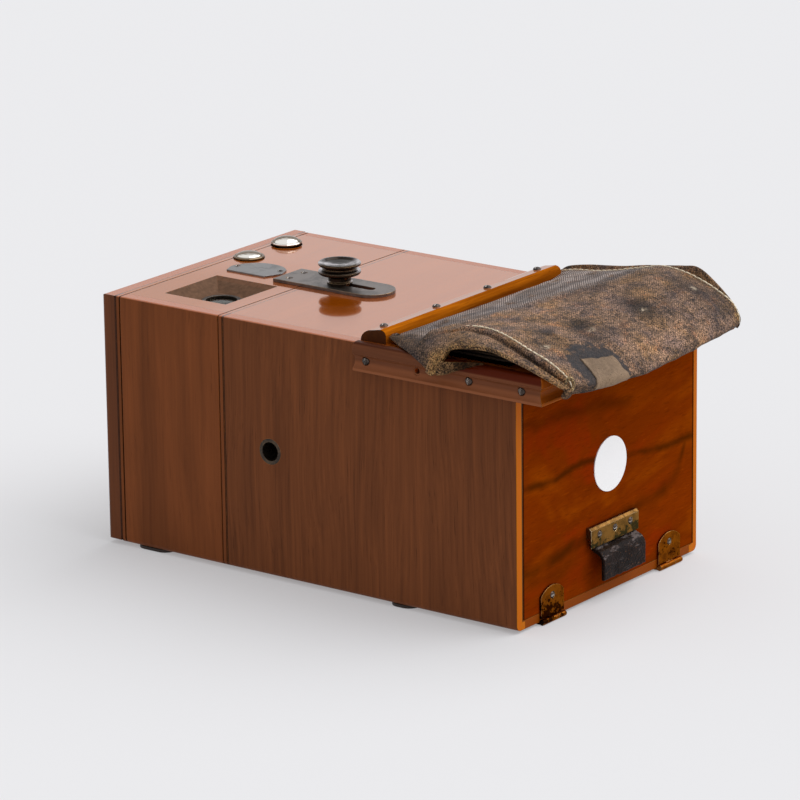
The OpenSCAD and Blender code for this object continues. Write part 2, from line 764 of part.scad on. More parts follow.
// Front section
module front_near_side() {
    color("brown") difference() {
        side_wall(y_flap, y_joint);
        quirks();
    }
}
module front_far_side() {
    color("brown") mirror([1, 0, 0]) difference() {
        side_wall(y_flap, y_joint);
        quirks();
    }
}
cover_c = [3, finder_y - 8.1];
cover_t = 0.8;
cover_r = 16;
module at_cover_screws() {
    for (p = [[-3.6, -12.4], [-7.6, 11.6]]) translate([cover_c[0] + p[0], cover_c[1] + p[1],
        z_top + cover_t - 0.4]) children();
}
module at_focus_screws() {
    for (x = [-6, 6]) translate([x, focus_screw_y, z_top + focus_plate_t - 0.6]) children();
}
module at_buttons() {
    for (x = [catch_x, release_x]) translate([x, button_y, 0]) children();
}
module front_top() {
    color("brown") difference() {
        block(-in_x, in_x, y_flap, y_joint, z_in_high, z_top);
        quirks();
        hull() {
            translate([finder_x, finder_y, z_top]) linear_extrude(eps)
                square([finder_w, finder_l], center = true);
            translate([finder_x, finder_y, finder_floor_z]) linear_extrude(eps)
                square(finder_floor_w, center = true);
        }
        translate([finder_x, finder_y, z_in_high - 1]) cylinder(d = bezel_d + 2 * fit_gap, h = wall_t);
        at_buttons() {
            translate([0, 0, z_in_high - 1])
                cylinder(r = skirt_r + 2 * fit_gap + tube_wall, h = wall_t + 2);
            translate([0, 0, z_top - counterbore_d]) cylinder(r = counterbore_r, h = wall_t);
        }
        at_cover_screws() screw_hole(cover_screw_d, cover_screw_len);
        at_focus_screws() screw_hole(plate_screw_d, plate_screw_len);
    }
}
module front_bottom() {
    color("brown") block(-in_x, in_x, y_flap, y_joint, z_floor, z_in_low);
}
module at_pivot(p) {
    translate([p[0], 0, p[1]]) children();
}
module lens_panel() {
    color("saddlebrown") difference() {
        block(-in_x, in_x, lens_panel_y, lens_panel_y + lens_panel_t, z_in_low, shelf_z);
        translate([0, 0, axis_z]) y_rod(barrel_d / 2 + fit_gap, lens_panel_y - 1, lens_panel_y + 20);
        for (p = [shutter_pivot, stop_pivot])
            at_pivot(p) y_rod(pivot_r + fit_gap, lens_panel_y - 1, lens_panel_y + 4.1);
        at_pivot(lever_pivot) y_rod(lever_pin_r + fit_gap, lens_panel_y - 1, lens_panel_y + 4.1);
    }
}
module finder_boards() {
    color("saddlebrown") {
        block(-in_x, in_x, lens_panel_y, sleeve_y, shelf_z, shelf_z + shelf_t);
        block(-in_x, in_x, sleeve_y - back_panel_t, sleeve_y, shelf_z + shelf_t, z_in_high);
    }
}
module light_trap_sleeve() {
    g = sleeve_gap;
    color("peru") difference() {
        block(g - in_x, in_x - g, sleeve_y, sleeve_end_y, z_in_low + g, z_in_high - g);
        block(g + sleeve_t - in_x, in_x - g - sleeve_t, sleeve_y - 1, sleeve_end_y + 1,
            z_in_low + g + sleeve_t, z_in_high - g - sleeve_t);
    }
}
module focus_plate() {
    r = focus_plate_w / 2;
    color("dimgray") difference() {
        translate([0, 0, z_top]) linear_extrude(focus_plate_t) difference() {
            union() {
                translate([-r, plate_front_y]) square([2 * r, plate_tip_y - r - plate_front_y]);
                translate([0, plate_tip_y - r]) circle(r);
            }
            translate([-slot_w / 2, knob_y]) square([slot_w, slot_len]);
            for (y = [knob_y, knob_y + slot_len]) translate([0, y]) circle(d = slot_w);
        }
        at_focus_screws() screw_hole(plate_screw_d, plate_screw_len);
    }
}
module front_screws() {
    color("goldenrod") {
        at_focus_screws() screw(plate_screw_d, plate_screw_len);
        at_cover_screws() screw(cover_screw_d, cover_screw_len);
    }
}
module cover_plate() {
    color("gray") difference() {
        translate([cover_c[0], cover_c[1], z_top]) linear_extrude(cover_t) intersection() {
            translate([0, 0.08 * cover_r]) circle(cover_r);
            scale(cover_r) polygon([[0.31, -0.78], [0.31, 0.71], [-0.25, 0.975], [-0.96, 0.71],
                [-1, -0.125], [-0.81, -1], [-0.34, -1]]);
        }
        at_cover_screws() screw_hole(cover_screw_d, cover_screw_len);
    }
}
case_y0 = finder_y - finder_case_w / 2;
case_y1 = finder_y + finder_case_w / 2;
case_z0 = shelf_z + shelf_t;
finder_lens_z = (case_z0 + finder_case_wall + z_in_high) / 2;
module finder_case() {
    w = finder_case_wall;
    color("black") difference() {
        block(finder_x - finder_case_w / 2, finder_x + finder_case_w / 2, case_y0, case_y1,
            case_z0, z_in_high);
        block(finder_x - finder_case_w / 2 + w, finder_x + finder_case_w / 2 - w, case_y0 + w,
            case_y1 - w, case_z0 + w, z_in_high + 1);
        translate([finder_x, 0, finder_lens_z]) y_rod(finder_lens_r, case_y0 - 1, case_y0 + w + 1);
    }
}
module finder_mirror() {
    w = finder_case_w - 2 * finder_case_wall - 0.2;
    l = 1.26 * (z_in_high - case_z0 - finder_case_wall);
    color("silver") translate([finder_x, finder_y, finder_lens_z - 0.6]) rotate([45, 0, 0])
        translate([-w / 2, -l / 2, -0.6]) cube([w, l, 1.2]);
}

// A lens that stands on its edge along Z, thicker by a bulge on each face
module glass(r, edge, bulge) {
    arc = [for (a = [0:15:90]) [r * cos(a), bulge * sin(a)]];
    rotate_extrude() polygon(concat(
        [for (p = arc) [p[0], edge / 2 + p[1]]],
        [for (i = [len(arc) - 1:-1:0]) [arc[i][0], -edge / 2 - arc[i][1]]]));
}
module finder_lenses() {
    color("azure") {
        translate([finder_x, case_y0 + 1, finder_lens_z]) rotate([90, 0, 0])
            glass(finder_lens_r - fit_gap, 1.4, 0.9);
        translate([finder_x, finder_y, finder_floor_z - 1.6]) glass(bezel_d / 2 - 2.1, 1, 0.8);
    }
}
module finder_bezel() {
    r = bezel_d / 2;
    color("darkgoldenrod") translate([finder_x, finder_y, 0]) difference() {
        union() {
            translate([0, 0, z_in_high - 1]) cylinder(r = r, h = finder_floor_z - z_in_high + 1.3);
            translate([0, 0, z_in_high - 1]) cylinder(r = r + 2, h = 1);
        }
        translate([0, 0, z_in_high - 2]) cylinder(r = r - 2, h = wall_t);
    }
}
module lens_barrel() {
    r = barrel_d / 2;
    color("darkgoldenrod") translate([0, 0, axis_z]) difference() {
        union() {
            y_rod(r, barrel_front, barrel_back);
            y_rod(r + 1, barrel_front, barrel_front + 2.5);
            y_rod(r + 4, lens_panel_y - 2, lens_panel_y);
            y_rod(r + 1, barrel_back - 2.5, barrel_back);
        }
        y_rod(r - 2, barrel_front - 1, barrel_front + 9);
        y_rod(stop_d / 2 + 1.5, barrel_front, barrel_back);
        y_rod(r - 2, barrel_back - 9, barrel_back + 1);
    }
}
module lens_glasses() {
    r = barrel_d / 2 - 2 - fit_gap;
    color("azure") for (y = [barrel_front + 6.4, barrel_back - 6.4])
        translate([0, y, axis_z]) rotate([90, 0, 0]) glass(r, 2.6, 1.2);
}
module post(p, r, plane, t) {
    at_pivot(p) {
        y_rod(r + 1.6, plane - 1.1, plane - 0.2);
        y_rod(r, plane - 0.3, lens_panel_y + 4);
        y_rod(r + 1.2, plane + t + 0.2, lens_panel_y);
    }
}
module pivot_posts() {
    color("goldenrod") {
        post(shutter_pivot, pivot_r, shutter_plane, shutter_t);
        post(stop_pivot, pivot_r, stop_plane, stop_t);
        post(lever_pivot, lever_pin_r, shutter_plane, lever_t);
    }
}
tube_top = z_top - counterbore_d;
tube_depth = 6.7;
tube_low = z_in_high - tube_depth;
tube_floor = 1;
module button_tubes() {
    color("goldenrod") at_buttons() difference() {
        translate([0, 0, tube_low]) cylinder(r = skirt_r + fit_gap + tube_wall, h = tube_top - tube_low);
        translate([0, 0, tube_low + tube_floor]) cylinder(r = skirt_r + fit_gap, h = wall_t + 10);
        translate([0, 0, tube_low - 1]) cylinder(r = stem_r + fit_gap, h = 5);
    }
}

// Coil springs under the buttons: one tube swept along a helix, with straight end turns
spring_wire = 0.8;
coil_r = (stem_r + skirt_r) / 2;
spring_turns = 5;
turn_steps = 16;
module coil(z0, z1) {
    n = spring_turns * turn_steps;
    m = 6;
    rise = z1 - z0 - spring_wire;
    pts = [for (i = [0:n]) let (a = 360 * i / turn_steps, z = z0 + spring_wire / 2 + rise * i / n)
        for (j = [0:m - 1]) let (b = 360 * j / m, r = coil_r + spring_wire / 2 * cos(b))
            [r * cos(a), r * sin(a), z + spring_wire / 2 * sin(b)]];
    polyhedron(points = pts, faces = concat(
        [[for (j = [0:m - 1]) j]],
        [[for (j = [m - 1:-1:0]) n * m + j]],
        [for (i = [0:n - 1]) for (j = [0:m - 1]) let (k = (j + 1) % m)
            each [[i * m + j, (i + 1) * m + j, (i + 1) * m + k],
                  [i * m + j, (i + 1) * m + k, i * m + k]]]));
}
release_skirt_z = z_top - 4;
catch_skirt_z = z_top - 5.5;
module catch_spring() {
    color("silver") translate([catch_x, button_y, 0])
        coil(tube_low + tube_floor + 0.1, catch_skirt_z - 0.1);
}
module release_spring() {
    color("silver") translate([release_x, button_y, 0])
        coil(tube_low + tube_floor + 0.1, release_skirt_z - 0.1);
}
module front_feet() {
    color("dimgray") for (side = [0, 1]) mirror([side, 0, 0]) foot(y_flap + front_foot_ahead,
        y_flap + front_foot_ahead + front_foot_len);
}
catch_z = tube_low - 4.8;
stud_r = 2;
module flap_catch_clip() {
    color("goldenrod") difference() {
        block(catch_x - 4, catch_x + 4, button_y - 5.5, button_y - 4.7, catch_z - 4.5, tube_low);
        translate([catch_x, 0, catch_z]) y_rod(stud_r + 0.6, button_y - 7, button_y);
    }
}

// Front flap and what it carries
module front_flap() {
    r = flap_edge_r;
    color("brown") difference() {
        intersection() {
            translate([0, 0, z_floor + flap_lift]) linear_extrude(body_h - flap_lift) difference() {
                translate([-half_w, y_front]) square([body_w, flap_t]);
                for (s = [0, 1]) mirror([s, 0]) translate([-half_w, y_front]) corner_cut(r);
            }
            translate([-half_w, 0, 0]) rotate([90, 0, 90]) linear_extrude(body_w) difference() {
                translate([y_front, z_floor]) square([flap_t, body_h]);
                translate([y_front, z_top]) mirror([0, 1]) corner_cut(r);
            }
        }
        at_flap_hinges() face_screw_hole();
        translate([catch_x, 0, catch_z]) y_rod(stud_r / 2 + fit_gap, y_flap - 4, y_flap + 1);
    }
}
module flap_brasswork() {
    color("darkgoldenrod") {
        at_flap_hinges() {
            difference() {
                face_leaf();
                face_screw_hole();
            }
            face_screw();
        }
        translate([catch_x, 0, catch_z]) {
            y_rod(stud_r, y_flap, y_flap + 4.6);
            y_rod(stud_r / 2, y_flap - 3.9, y_flap + 1);
        }
    }
}

// Clamp knob with its stud
module clamp_knob() {
    r = knob_d / 2;
    h = knob_h;
    color("dimgray") translate([0, knob_y, z_top + focus_plate_t]) {
        rotate_extrude() polygon([[0, 0], [0.6 * r, 0], [0.6 * r, 1.1], [0.54 * r, 1.6],
            [0.54 * r, 0.3 * h], [0.66 * r, 0.37 * h], [r - 0.5, 0.46 * h], [r, 0.52 * h],
            [r, 0.59 * h], [r - 0.5, 0.64 * h], [r - 1.9, 0.68 * h], [r - 2.2, 0.73 * h],
            [r - 1.9, 0.78 * h], [r - 0.5, 0.84 * h], [r, 0.9 * h], [r, 0.96 * h],
            [r - 0.5, h], [r - 1.5, h], [0.7 * r, h - 0.9], [0.35 * r, h - 1.5], [0, h - 1.7]]);
        translate([0, 0, -focus_plate_t - stud_len]) cylinder(d = stud_d, h = focus_plate_t + stud_len + eps);
    }
}

// Buttons: a domed cap with a rim, a skirt that slides in its tube, and a stem
module button(rim_z, dome, skirt_z, stem_z) {
    r = button_d / 2;
    rotate_extrude() polygon(concat(
        [[0, stem_z], [stem_r, stem_z], [stem_r, skirt_z], [skirt_r, skirt_z], [skirt_r, rim_z],
         [r - 0.3, rim_z], [r, rim_z + 0.3], [r, rim_z + 0.7], [r - 0.4, rim_z + 1],
         [r - 0.9, rim_z + 1]],
        [for (a = [0:15:75]) [(r - 1.2) * cos(a), rim_z + 0.8 + (dome - 0.8) * sin(a)]],
        [[0, rim_z + dome]]));
}
module catch_button() {
    color("silver") translate([catch_x, button_y, 0]) {
        button(catch_rim_z, catch_dome, catch_skirt_z, tube_low - 2.2);
        translate([-1.5, -3.1, tube_low - 2.2]) cube([3, 3, 1.8 - catch_travel + 0.4]);
    }
}
module release_button() {
    color("silver") translate([release_x, button_y, 0])
        button(release_rim_z, release_dome, release_skirt_z, lever_end_z + 0.4);
}

// Shutter and stops
module y_plate(y, t) {
    translate([0, y + t, 0]) rotate([90, 0, 0]) linear_extrude(t) children();
}
module release_lever() {
    tip_x = shutter_pivot[0];
    tip_z = shutter_pivot[1] + shutter_r + 0.4;
    color("darkgoldenrod") y_plate(shutter_plane, lever_t) difference() {
        union() {
            translate(lever_pivot) circle(lever_pin_r + lever_boss);
            link(lever_pivot, [release_x + 1, lever_end_z - 1.8], lever_w);
            translate([release_x - 1.6, lever_end_z - 3.8]) square([3.5, 3.8]);
            link(lever_pivot, [tip_x, lever_pivot[1]], lever_w);
            translate([tip_x - 1, tip_z]) square([2, lever_pivot[1] + lever_w / 2 - tip_z]);
        }
        translate(lever_pivot) circle(lever_pin_r + fit_gap);
    }
}
shutter_arm = norm([0, axis_z] - shutter_pivot);
module shutter_disc() {
    rest = 120;
    color("black") {
        y_plate(shutter_plane, shutter_t) difference() {
            translate(shutter_pivot) circle(shutter_r);
            translate(shutter_pivot) circle(pivot_r + fit_gap);
            translate(shutter_pivot + shutter_arm * [cos(rest), sin(rest)]) circle(d = stop_d + 3);
            translate(shutter_pivot + [-1.2, shutter_r - 1.2]) square([2.4, 3]);
        }
        translate([shutter_pivot[0] + 0.41 * shutter_r, 0, shutter_pivot[1] - 0.71 * shutter_r])
            y_rod(1.6, shutter_plane - 3, shutter_plane + eps);
    }
}
stop_arm = norm([0, axis_z] - stop_pivot);
module stop_wheel() {
    lens_angle = atan2(axis_z - stop_pivot[1], -stop_pivot[0]);
    color("goldenrod") y_plate(stop_plane, stop_t) difference() {
        translate(stop_pivot) circle(stop_wheel_r);
        translate(stop_pivot) circle(pivot_r + fit_gap);
        for (i = [0:3]) let (a = lens_angle + 90 * i)
            translate(stop_pivot + stop_arm * [cos(a), sin(a)]) circle(d = stop_d * (1 - 0.22 * i));
    }
}

rear_near_side();
rear_far_side();
rear_top();
rear_bottom();
exposure_frame();
magazine_guides();
door_transom();
bag_frame_front();
bag_frame_near_side();
bag_frame_far_side();
bag_frame_rear();
bag_frame_screws();
changing_bag();
plate_sheaths();
glass_plates();
tripod_bush();
clamp_bush();
rear_feet();
door_hinge_bases();
door_hinge_pins();
rear_door();
door_hinge_leaves();
door_screws();
tab_plate();
leather_tab();
label_disc();
pressure_board();
pressure_springs();
front_near_side();
front_far_side();
front_top();
front_bottom();
lens_panel();
finder_boards();
light_trap_sleeve();
focus_plate();
front_screws();
finder_case();
finder_mirror();
finder_lenses();
finder_bezel();
cover_plate();
lens_barrel();
lens_glasses();
pivot_posts();
button_tubes();
catch_spring();
release_spring();
front_feet();
flap_hinge_bases();
flap_hinge_pins();
flap_catch_clip();
front_flap();
flap_brasswork();
clamp_knob();
catch_button();
release_button();
release_lever();
shutter_disc();
stop_wheel();
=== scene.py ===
import math

import bmesh
import bpy
import numpy as np
from bpy.props import FloatProperty, FloatVectorProperty, PointerProperty
from mathutils import Matrix, Vector, noise


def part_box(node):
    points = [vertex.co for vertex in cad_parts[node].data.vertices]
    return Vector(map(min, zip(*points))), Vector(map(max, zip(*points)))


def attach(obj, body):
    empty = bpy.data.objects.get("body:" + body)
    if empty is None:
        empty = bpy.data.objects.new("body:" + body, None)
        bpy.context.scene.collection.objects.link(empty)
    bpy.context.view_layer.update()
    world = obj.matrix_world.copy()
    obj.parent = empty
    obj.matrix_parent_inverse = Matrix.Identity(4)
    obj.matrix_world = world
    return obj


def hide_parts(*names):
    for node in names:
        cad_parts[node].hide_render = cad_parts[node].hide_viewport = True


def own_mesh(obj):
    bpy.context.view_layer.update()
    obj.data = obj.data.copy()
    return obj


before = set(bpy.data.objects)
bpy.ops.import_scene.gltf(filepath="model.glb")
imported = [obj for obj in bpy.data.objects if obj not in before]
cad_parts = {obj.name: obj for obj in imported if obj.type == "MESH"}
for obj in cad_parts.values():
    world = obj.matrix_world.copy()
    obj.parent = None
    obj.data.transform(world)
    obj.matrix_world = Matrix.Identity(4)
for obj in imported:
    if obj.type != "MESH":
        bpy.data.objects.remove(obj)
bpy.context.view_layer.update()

bl_info = {
    "name": "Bag-changing box camera",
    "version": (1, 0, 0),
    "blender": (4, 5, 0),
    "location": "3D View > Sidebar > Box camera",
    "description": "Finishes a wooden plate camera: polish, patina, leather bag and studio",
    "category": "Object",
}

MM = 0.001

# Places along Y in mm that the dark lines follow
JOINT = -48.8  # where the front and rear sections meet
JOINT_GROOVE = -51.45  # the groove in front of that joint
FLAP_JOINT = -116.1  # where the flap meets the front section
FLAP_GROOVE = -113.45  # the groove behind the flap

# Place and axes of the viewing camera, in metres
VIEW_PLACE = (1.853447, 1.391343, 0.757361)
VIEW_RIGHT = (-0.5973560, 0.8018908, -0.0117061)
VIEW_UP = (-0.2329151, -0.1595021, 0.9593277)
VIEW_BACK = (0.7674089, 0.5757867, 0.2820520)

LAMP_AIM = (0.42, -0.42, -0.80)

WHITE = (1.0, 1.0, 1.0)
GAP_DARK = (0.004, 0.0015, 0.001)

# Turns that lay the wood grain along an axis of the part
GRAIN_TURN = {"X": (0.0, math.pi / 2, 0.0), "Y": (math.pi / 2, 0.0, 0.0), "Z": (0.0, 0.0, 0.0)}

# Dark veins of the door: points (x, z) in mm from high x to low x, half width in mm, strength
DOOR_VEINS = (
    ([(76, 72.5), (44, 69), (22, 71.5), (-18, 66), (-50, 61), (-75, 58)], 3.4, 1.0),
    ([(-22, 36), (-40, 37.5), (-54, 41.5), (-61, 48), (-66, 57)], 6.5, 1.0),
    ([(76, 99.5), (50, 98.5), (23, 96), (-20, 94)], 5.0, 0.6),
    ([(76, 26), (40, 23), (-5, 30), (-30, 20)], 6.5, 0.6),
)


# Helpers for shader trees

def put(tree, kind, inputs=(), **settings):
    """Adds a shader node; inputs are values or sockets to link."""
    node = tree.nodes.new("ShaderNode" + kind)
    for name, value in settings.items():
        setattr(node, name, value)
    for name, value in dict(inputs).items():
        join(tree, value, node.inputs[name])
    return node


def join(tree, value, socket):
    """Links a socket, or sets its value; three numbers do for a colour."""
    if isinstance(value, bpy.types.NodeSocket):
        tree.links.new(value, socket)
    elif value is not None:
        socket.default_value = (*value[:3], 1.0) if socket.type == "RGBA" else value


def calc(tree, operation, a, b=None, clamp=False):
    """A Math node's result."""
    return put(tree, "Math", {0: a, 1: b}, operation=operation, use_clamp=clamp).outputs[0]


def times(tree, a, b, clamp=False):
    """The product of two values."""
    return calc(tree, "MULTIPLY", a, b, clamp)


def plus(tree, a, b, clamp=False):
    """The sum of two values."""
    return calc(tree, "ADD", a, b, clamp)


def minus(tree, a, b):
    """The first value less the second."""
    return calc(tree, "SUBTRACT", a, b)


def blend(tree, share, a, b, mode="MIX"):
    """A colour between a and b."""
    node = put(tree, "Mix", data_type="RGBA", blend_type=mode)
    join(tree, share, node.inputs[0])
    join(tree, a, node.inputs[6])
    join(tree, b, node.inputs[7])
    return node.outputs[2]


def painted(tree, colour, *layers):
    """Lays tones over a colour; a layer is a mask, a strength, a tone and for some a blend mode."""
    for mask, strength, tone, *mode in layers:
        colour = blend(tree, times(tree, mask, strength), colour, tone, *mode)
    return colour


def ramp(tree, value, low, high):
    """A value's share of the way from low to high, smoothed."""
    node = put(tree, "MapRange", {"Value": value, "From Min": low, "From Max": high},
               interpolation_type="SMOOTHSTEP")
    return node.outputs["Result"]


def split(tree, vector):
    """The parts of a vector, by the names X, Y and Z."""
    return put(tree, "SeparateXYZ", {0: vector}).outputs


def stretched(tree, vector, scale=(1.0, 1.0, 1.0), turn=(0.0, 0.0, 0.0)):
    """Coordinates turned and scaled for one pattern."""
    return put(tree, "Mapping", {"Vector": vector, "Rotation": turn, "Scale": scale}).outputs[0]


def clouds(tree, vector, scale, detail=3.0, rough=0.55, twist=0.0):
    """A noise value from 0 to 1."""
    return put(tree, "TexNoise", {"Vector": vector, "Scale": scale, "Detail": detail,
               "Roughness": rough, "Distortion": twist}).outputs[0]


def bands(tree, vector, scale, direction, twist, **inputs):
    """A value that goes up and down in bands across X or Y."""
    return put(tree, "TexWave", {"Vector": vector, "Scale": scale, "Distortion": twist, "Detail": 1.0,
               **inputs}, wave_type="BANDS", bands_direction=direction).outputs[1]


def new_group(name, inputs, outputs):
    """A shader group with named sockets; gives the tree, its input sockets and its output node."""
    tree = bpy.data.node_groups.new(name, "ShaderNodeTree")
    for label, kind, default in inputs:
        socket = tree.interface.new_socket(label, in_out="INPUT", socket_type="NodeSocket" + kind)
        if default is not None:
            socket.default_value = default
    for label, kind in outputs:
        tree.interface.new_socket(label, in_out="OUTPUT", socket_type="NodeSocket" + kind)
    return tree, tree.nodes.new("NodeGroupInput").outputs, tree.nodes.new("NodeGroupOutput")


def use_group(tree, name, inputs):
    """Places a group in a material and gives its outputs."""
    node = put(tree, "Group", node_tree=bpy.data.node_groups[name])
    for label, value in inputs.items():
        join(tree, value, node.inputs[label])
    return node.outputs


def new_material(name):
    """An empty material; gives it with its tree and Object coordinates."""
    material = bpy.data.materials.new(name)
    material.use_nodes = True
    material.node_tree.nodes.clear()
    tree = material.node_tree
    return material, tree, put(tree, "TexCoord").outputs["Object"]


def facing_part(tree, axis):
    """How far the surface faces along one of the part's own axes."""
    return split(tree, put(tree, "TexCoord").outputs["Normal"])[axis]


def close(tree, inputs, **constants):
    """The Principled shader and the output."""
    shader = put(tree, "BsdfPrincipled", inputs)
    for name, value in constants.items():
        join(tree, value, shader.inputs[name.replace("_", " ")])
    out = put(tree, "OutputMaterial")
    tree.links.new(shader.outputs[0], out.inputs["Surface"])


def bumped(tree, height, strength, distance, normal=None):
    """A bump normal from a height in the pattern."""
    return put(tree, "Bump", {"Height": height, "Strength": strength, "Distance": distance,
               "Normal": normal}).outputs[0]


# Shared effects

def make_grain_group():
    """Wood grain along Z of its vector: broad figure, streaks and pores."""
    tree, given, out = new_group("Wood grain", [
        ("Vector", "Vector", None), ("Light", "Color", None), ("Dark", "Color", None),
        ("Figure", "Float", 0.5), ("Streaks", "Float", 0.5), ("Pores", "Float", 0.5)],
        [("Color", "Color"), ("Height", "Float")])
    v = given["Vector"]
    sway = times(tree, clouds(tree, stretched(tree, v, (14.0, 14.0, 5.0)), 1.0, 2.0), 0.02)
    bend = put(tree, "CombineXYZ", {"X": sway, "Y": sway}).outputs[0]
    bent = put(tree, "VectorMath", {0: v, 1: bend}, operation="ADD").outputs[0]
    broad = clouds(tree, stretched(tree, bent, (45.0, 45.0, 5.0)), 1.0, 3.0, 0.6, 0.6)
    streak = clouds(tree, stretched(tree, bent, (420.0, 420.0, 7.0)), 1.0, 5.0, 0.65)
    hair = clouds(tree, stretched(tree, bent, (1900.0, 1900.0, 26.0)), 1.0, 2.0)
    figure = times(tree, minus(tree, broad, 0.5), given["Figure"])
    lines = times(tree, minus(tree, streak, 0.5), given["Streaks"])
    share = plus(tree, times(tree, figure, 2.4), times(tree, lines, 2.2))
    base = blend(tree, plus(tree, share, 0.45, clamp=True), given["Light"], given["Dark"])
    pore = times(tree, ramp(tree, hair, 0.60, 0.74), given["Pores"], clamp=True)
    deep = blend(tree, 0.55, given["Dark"], (0.004, 0.002, 0.001))
    join(tree, blend(tree, pore, base, deep), out.inputs["Color"])
    join(tree, minus(tree, lines, times(tree, pore, 0.6)), out.inputs["Height"])


def make_edge_group():
    """Worn and highlit edges: a mask that is 1 where the surface turns within a radius, and its round
    normal; the colours laid on it are partly wear and partly painted highlights.
    """
    tree, given, out = new_group("Worn and highlit edges", [
        ("Vector", "Vector", None), ("Radius", "Float", 0.0006), ("Break up", "Float", 0.5)],
        [("Mask", "Float"), ("Normal", "Vector")])
    soft = put(tree, "Bevel", {"Radius": given["Radius"]}, samples=6).outputs[0]
    facing = put(tree, "NewGeometry").outputs["True Normal"]
    same = put(tree, "VectorMath", {0: soft, 1: facing}, operation="DOT_PRODUCT").outputs["Value"]
    turn = ramp(tree, minus(tree, 1.0, same), 0.02, 0.22)
    chips = ramp(tree, clouds(tree, given["Vector"], 260.0, 4.0), 0.35, 0.62)
    kept = minus(tree, 1.0, times(tree, chips, given["Break up"]))
    join(tree, times(tree, turn, kept, clamp=True), out.inputs["Mask"])
    join(tree, soft, out.inputs["Normal"])


def make_patina_group():
    """Patina on metal: blotches, fine specks and scratches."""
    tree, given, out = new_group("Patina", [
        ("Vector", "Vector", None), ("Metal", "Color", None), ("Tarnish", "Color", None),
        ("Amount", "Float", 0.5), ("Scale", "Float", 1.0)],
        [("Color", "Color"), ("Tarnished", "Float"), ("Height", "Float")])
    v = put(tree, "VectorMath", {0: given["Vector"], "Scale": given["Scale"]},
            operation="SCALE").outputs[0]
    blotch = clouds(tree, v, 110.0, 5.0, 0.62, 0.5)
    speck = clouds(tree, v, 900.0, 3.0, 0.6)
    scratch = clouds(tree, stretched(tree, v, (3000.0, 240.0, 300.0), (0.3, 0.2, 0.5)), 1.0, 2.0)
    level = plus(tree, blotch, times(tree, minus(tree, speck, 0.5), 0.35))
    line = minus(tree, 1.08, given["Amount"])
    tarnished = ramp(tree, plus(tree, minus(tree, level, line), 0.54), 0.38, 0.62)
    join(tree, blend(tree, tarnished, given["Metal"], given["Tarnish"]), out.inputs["Color"])
    join(tree, tarnished, out.inputs["Tarnished"])
    join(tree, plus(tree, times(tree, speck, 0.5), times(tree, scratch, 0.4)), out.inputs["Height"])


def make_leather_group():
    """Worn leather: brown mottling, dark grain, black pits, golden fibres and a fine pebble."""
    tree, given, out = new_group("Worn leather", [
        ("Vector", "Vector", None), ("Brown", "Color", None), ("Dark", "Color", None),
        ("Fibre", "Color", None), ("Pits", "Float", 0.5), ("Fibres", "Float", 0.2),
        ("Grain", "Float", 1.0)], [("Color", "Color"), ("Height", "Float")])
    v = given["Vector"]
    blotch = clouds(tree, v, 80.0, 4.0, 0.6, 0.3)
    middle = clouds(tree, v, 300.0, 3.0, 0.65)
    speck = clouds(tree, v, 1350.0, 2.0, 0.7)
    grit = clouds(tree, stretched(tree, v, turn=(0.4, 0.3, 0.2)), 1350.0, 2.0, 0.6)
    wisp = clouds(tree, v, 1100.0, 2.0, 0.65)
    cells = put(tree, "TexVoronoi", {"Vector": v, "Scale": 900.0, "Randomness": 1.0}).outputs["Distance"]
    tone = plus(tree, times(tree, blotch, 0.5), times(tree, middle, 0.5))
    base = blend(tree, ramp(tree, tone, 0.36, 0.62), given["Dark"], given["Brown"])
    shade = minus(tree, times(tree, ramp(tree, speck, 0.38, 0.62), 1.20), 0.62)
    shade = plus(tree, times(tree, shade, given["Grain"]), 1.0)
    pit_line = minus(tree, 0.66, times(tree, given["Pits"], 0.16))
    pit = ramp(tree, minus(tree, grit, pit_line), 0.0, 0.05)
    fibre = ramp(tree, plus(tree, wisp, times(tree, given["Fibres"], 0.32)), 0.60, 0.74)
    colour = painted(tree, blend(tree, 1.0, base, shade, "MULTIPLY"),
                     (fibre, 0.85, given["Fibre"]), (pit, 0.85, (0.004, 0.004, 0.005)))
    join(tree, colour, out.inputs["Color"])
    pebble = plus(tree, times(tree, speck, 0.6), cells)
    join(tree, minus(tree, pebble, times(tree, pit, 0.9)), out.inputs["Height"])


def wood_grain(tree, vector, light, dark, figure, streaks, pores):
    """Colour and height of a wood's grain along Z of the vector."""
    return use_group(tree, "Wood grain", {"Vector": vector, "Light": light, "Dark": dark,
                     "Figure": figure, "Streaks": streaks, "Pores": pores})


def worn_and_highlit_edges(tree, place, radius, break_up=0.5):
    """Mask and round normal of the edges."""
    return use_group(tree, "Worn and highlit edges", {"Vector": place, "Radius": radius, "Break up": break_up})


def worn_leather(tree, place, brown, dark, fibre, pits, fibres, grain=1.0):
    """Colour and height of leather."""
    return use_group(tree, "Worn leather", {"Vector": place, "Brown": brown, "Dark": dark,
                     "Fibre": fibre, "Pits": pits, "Fibres": fibres, "Grain": grain})


def dark_lines(tree, place, colour, lines):
    """Darkens thin lines across the part at the given y and half width, in mm, at the joints and their
    grooves.
    """
    y = split(tree, place)["Y"]
    for where, half in lines:
        off = calc(tree, "ABSOLUTE", minus(tree, y, where * MM))
        line = ramp(tree, off, half * 1.3 * MM, half * 0.6 * MM)
        colour = painted(tree, colour, (line, 0.9, GAP_DARK))
    return colour


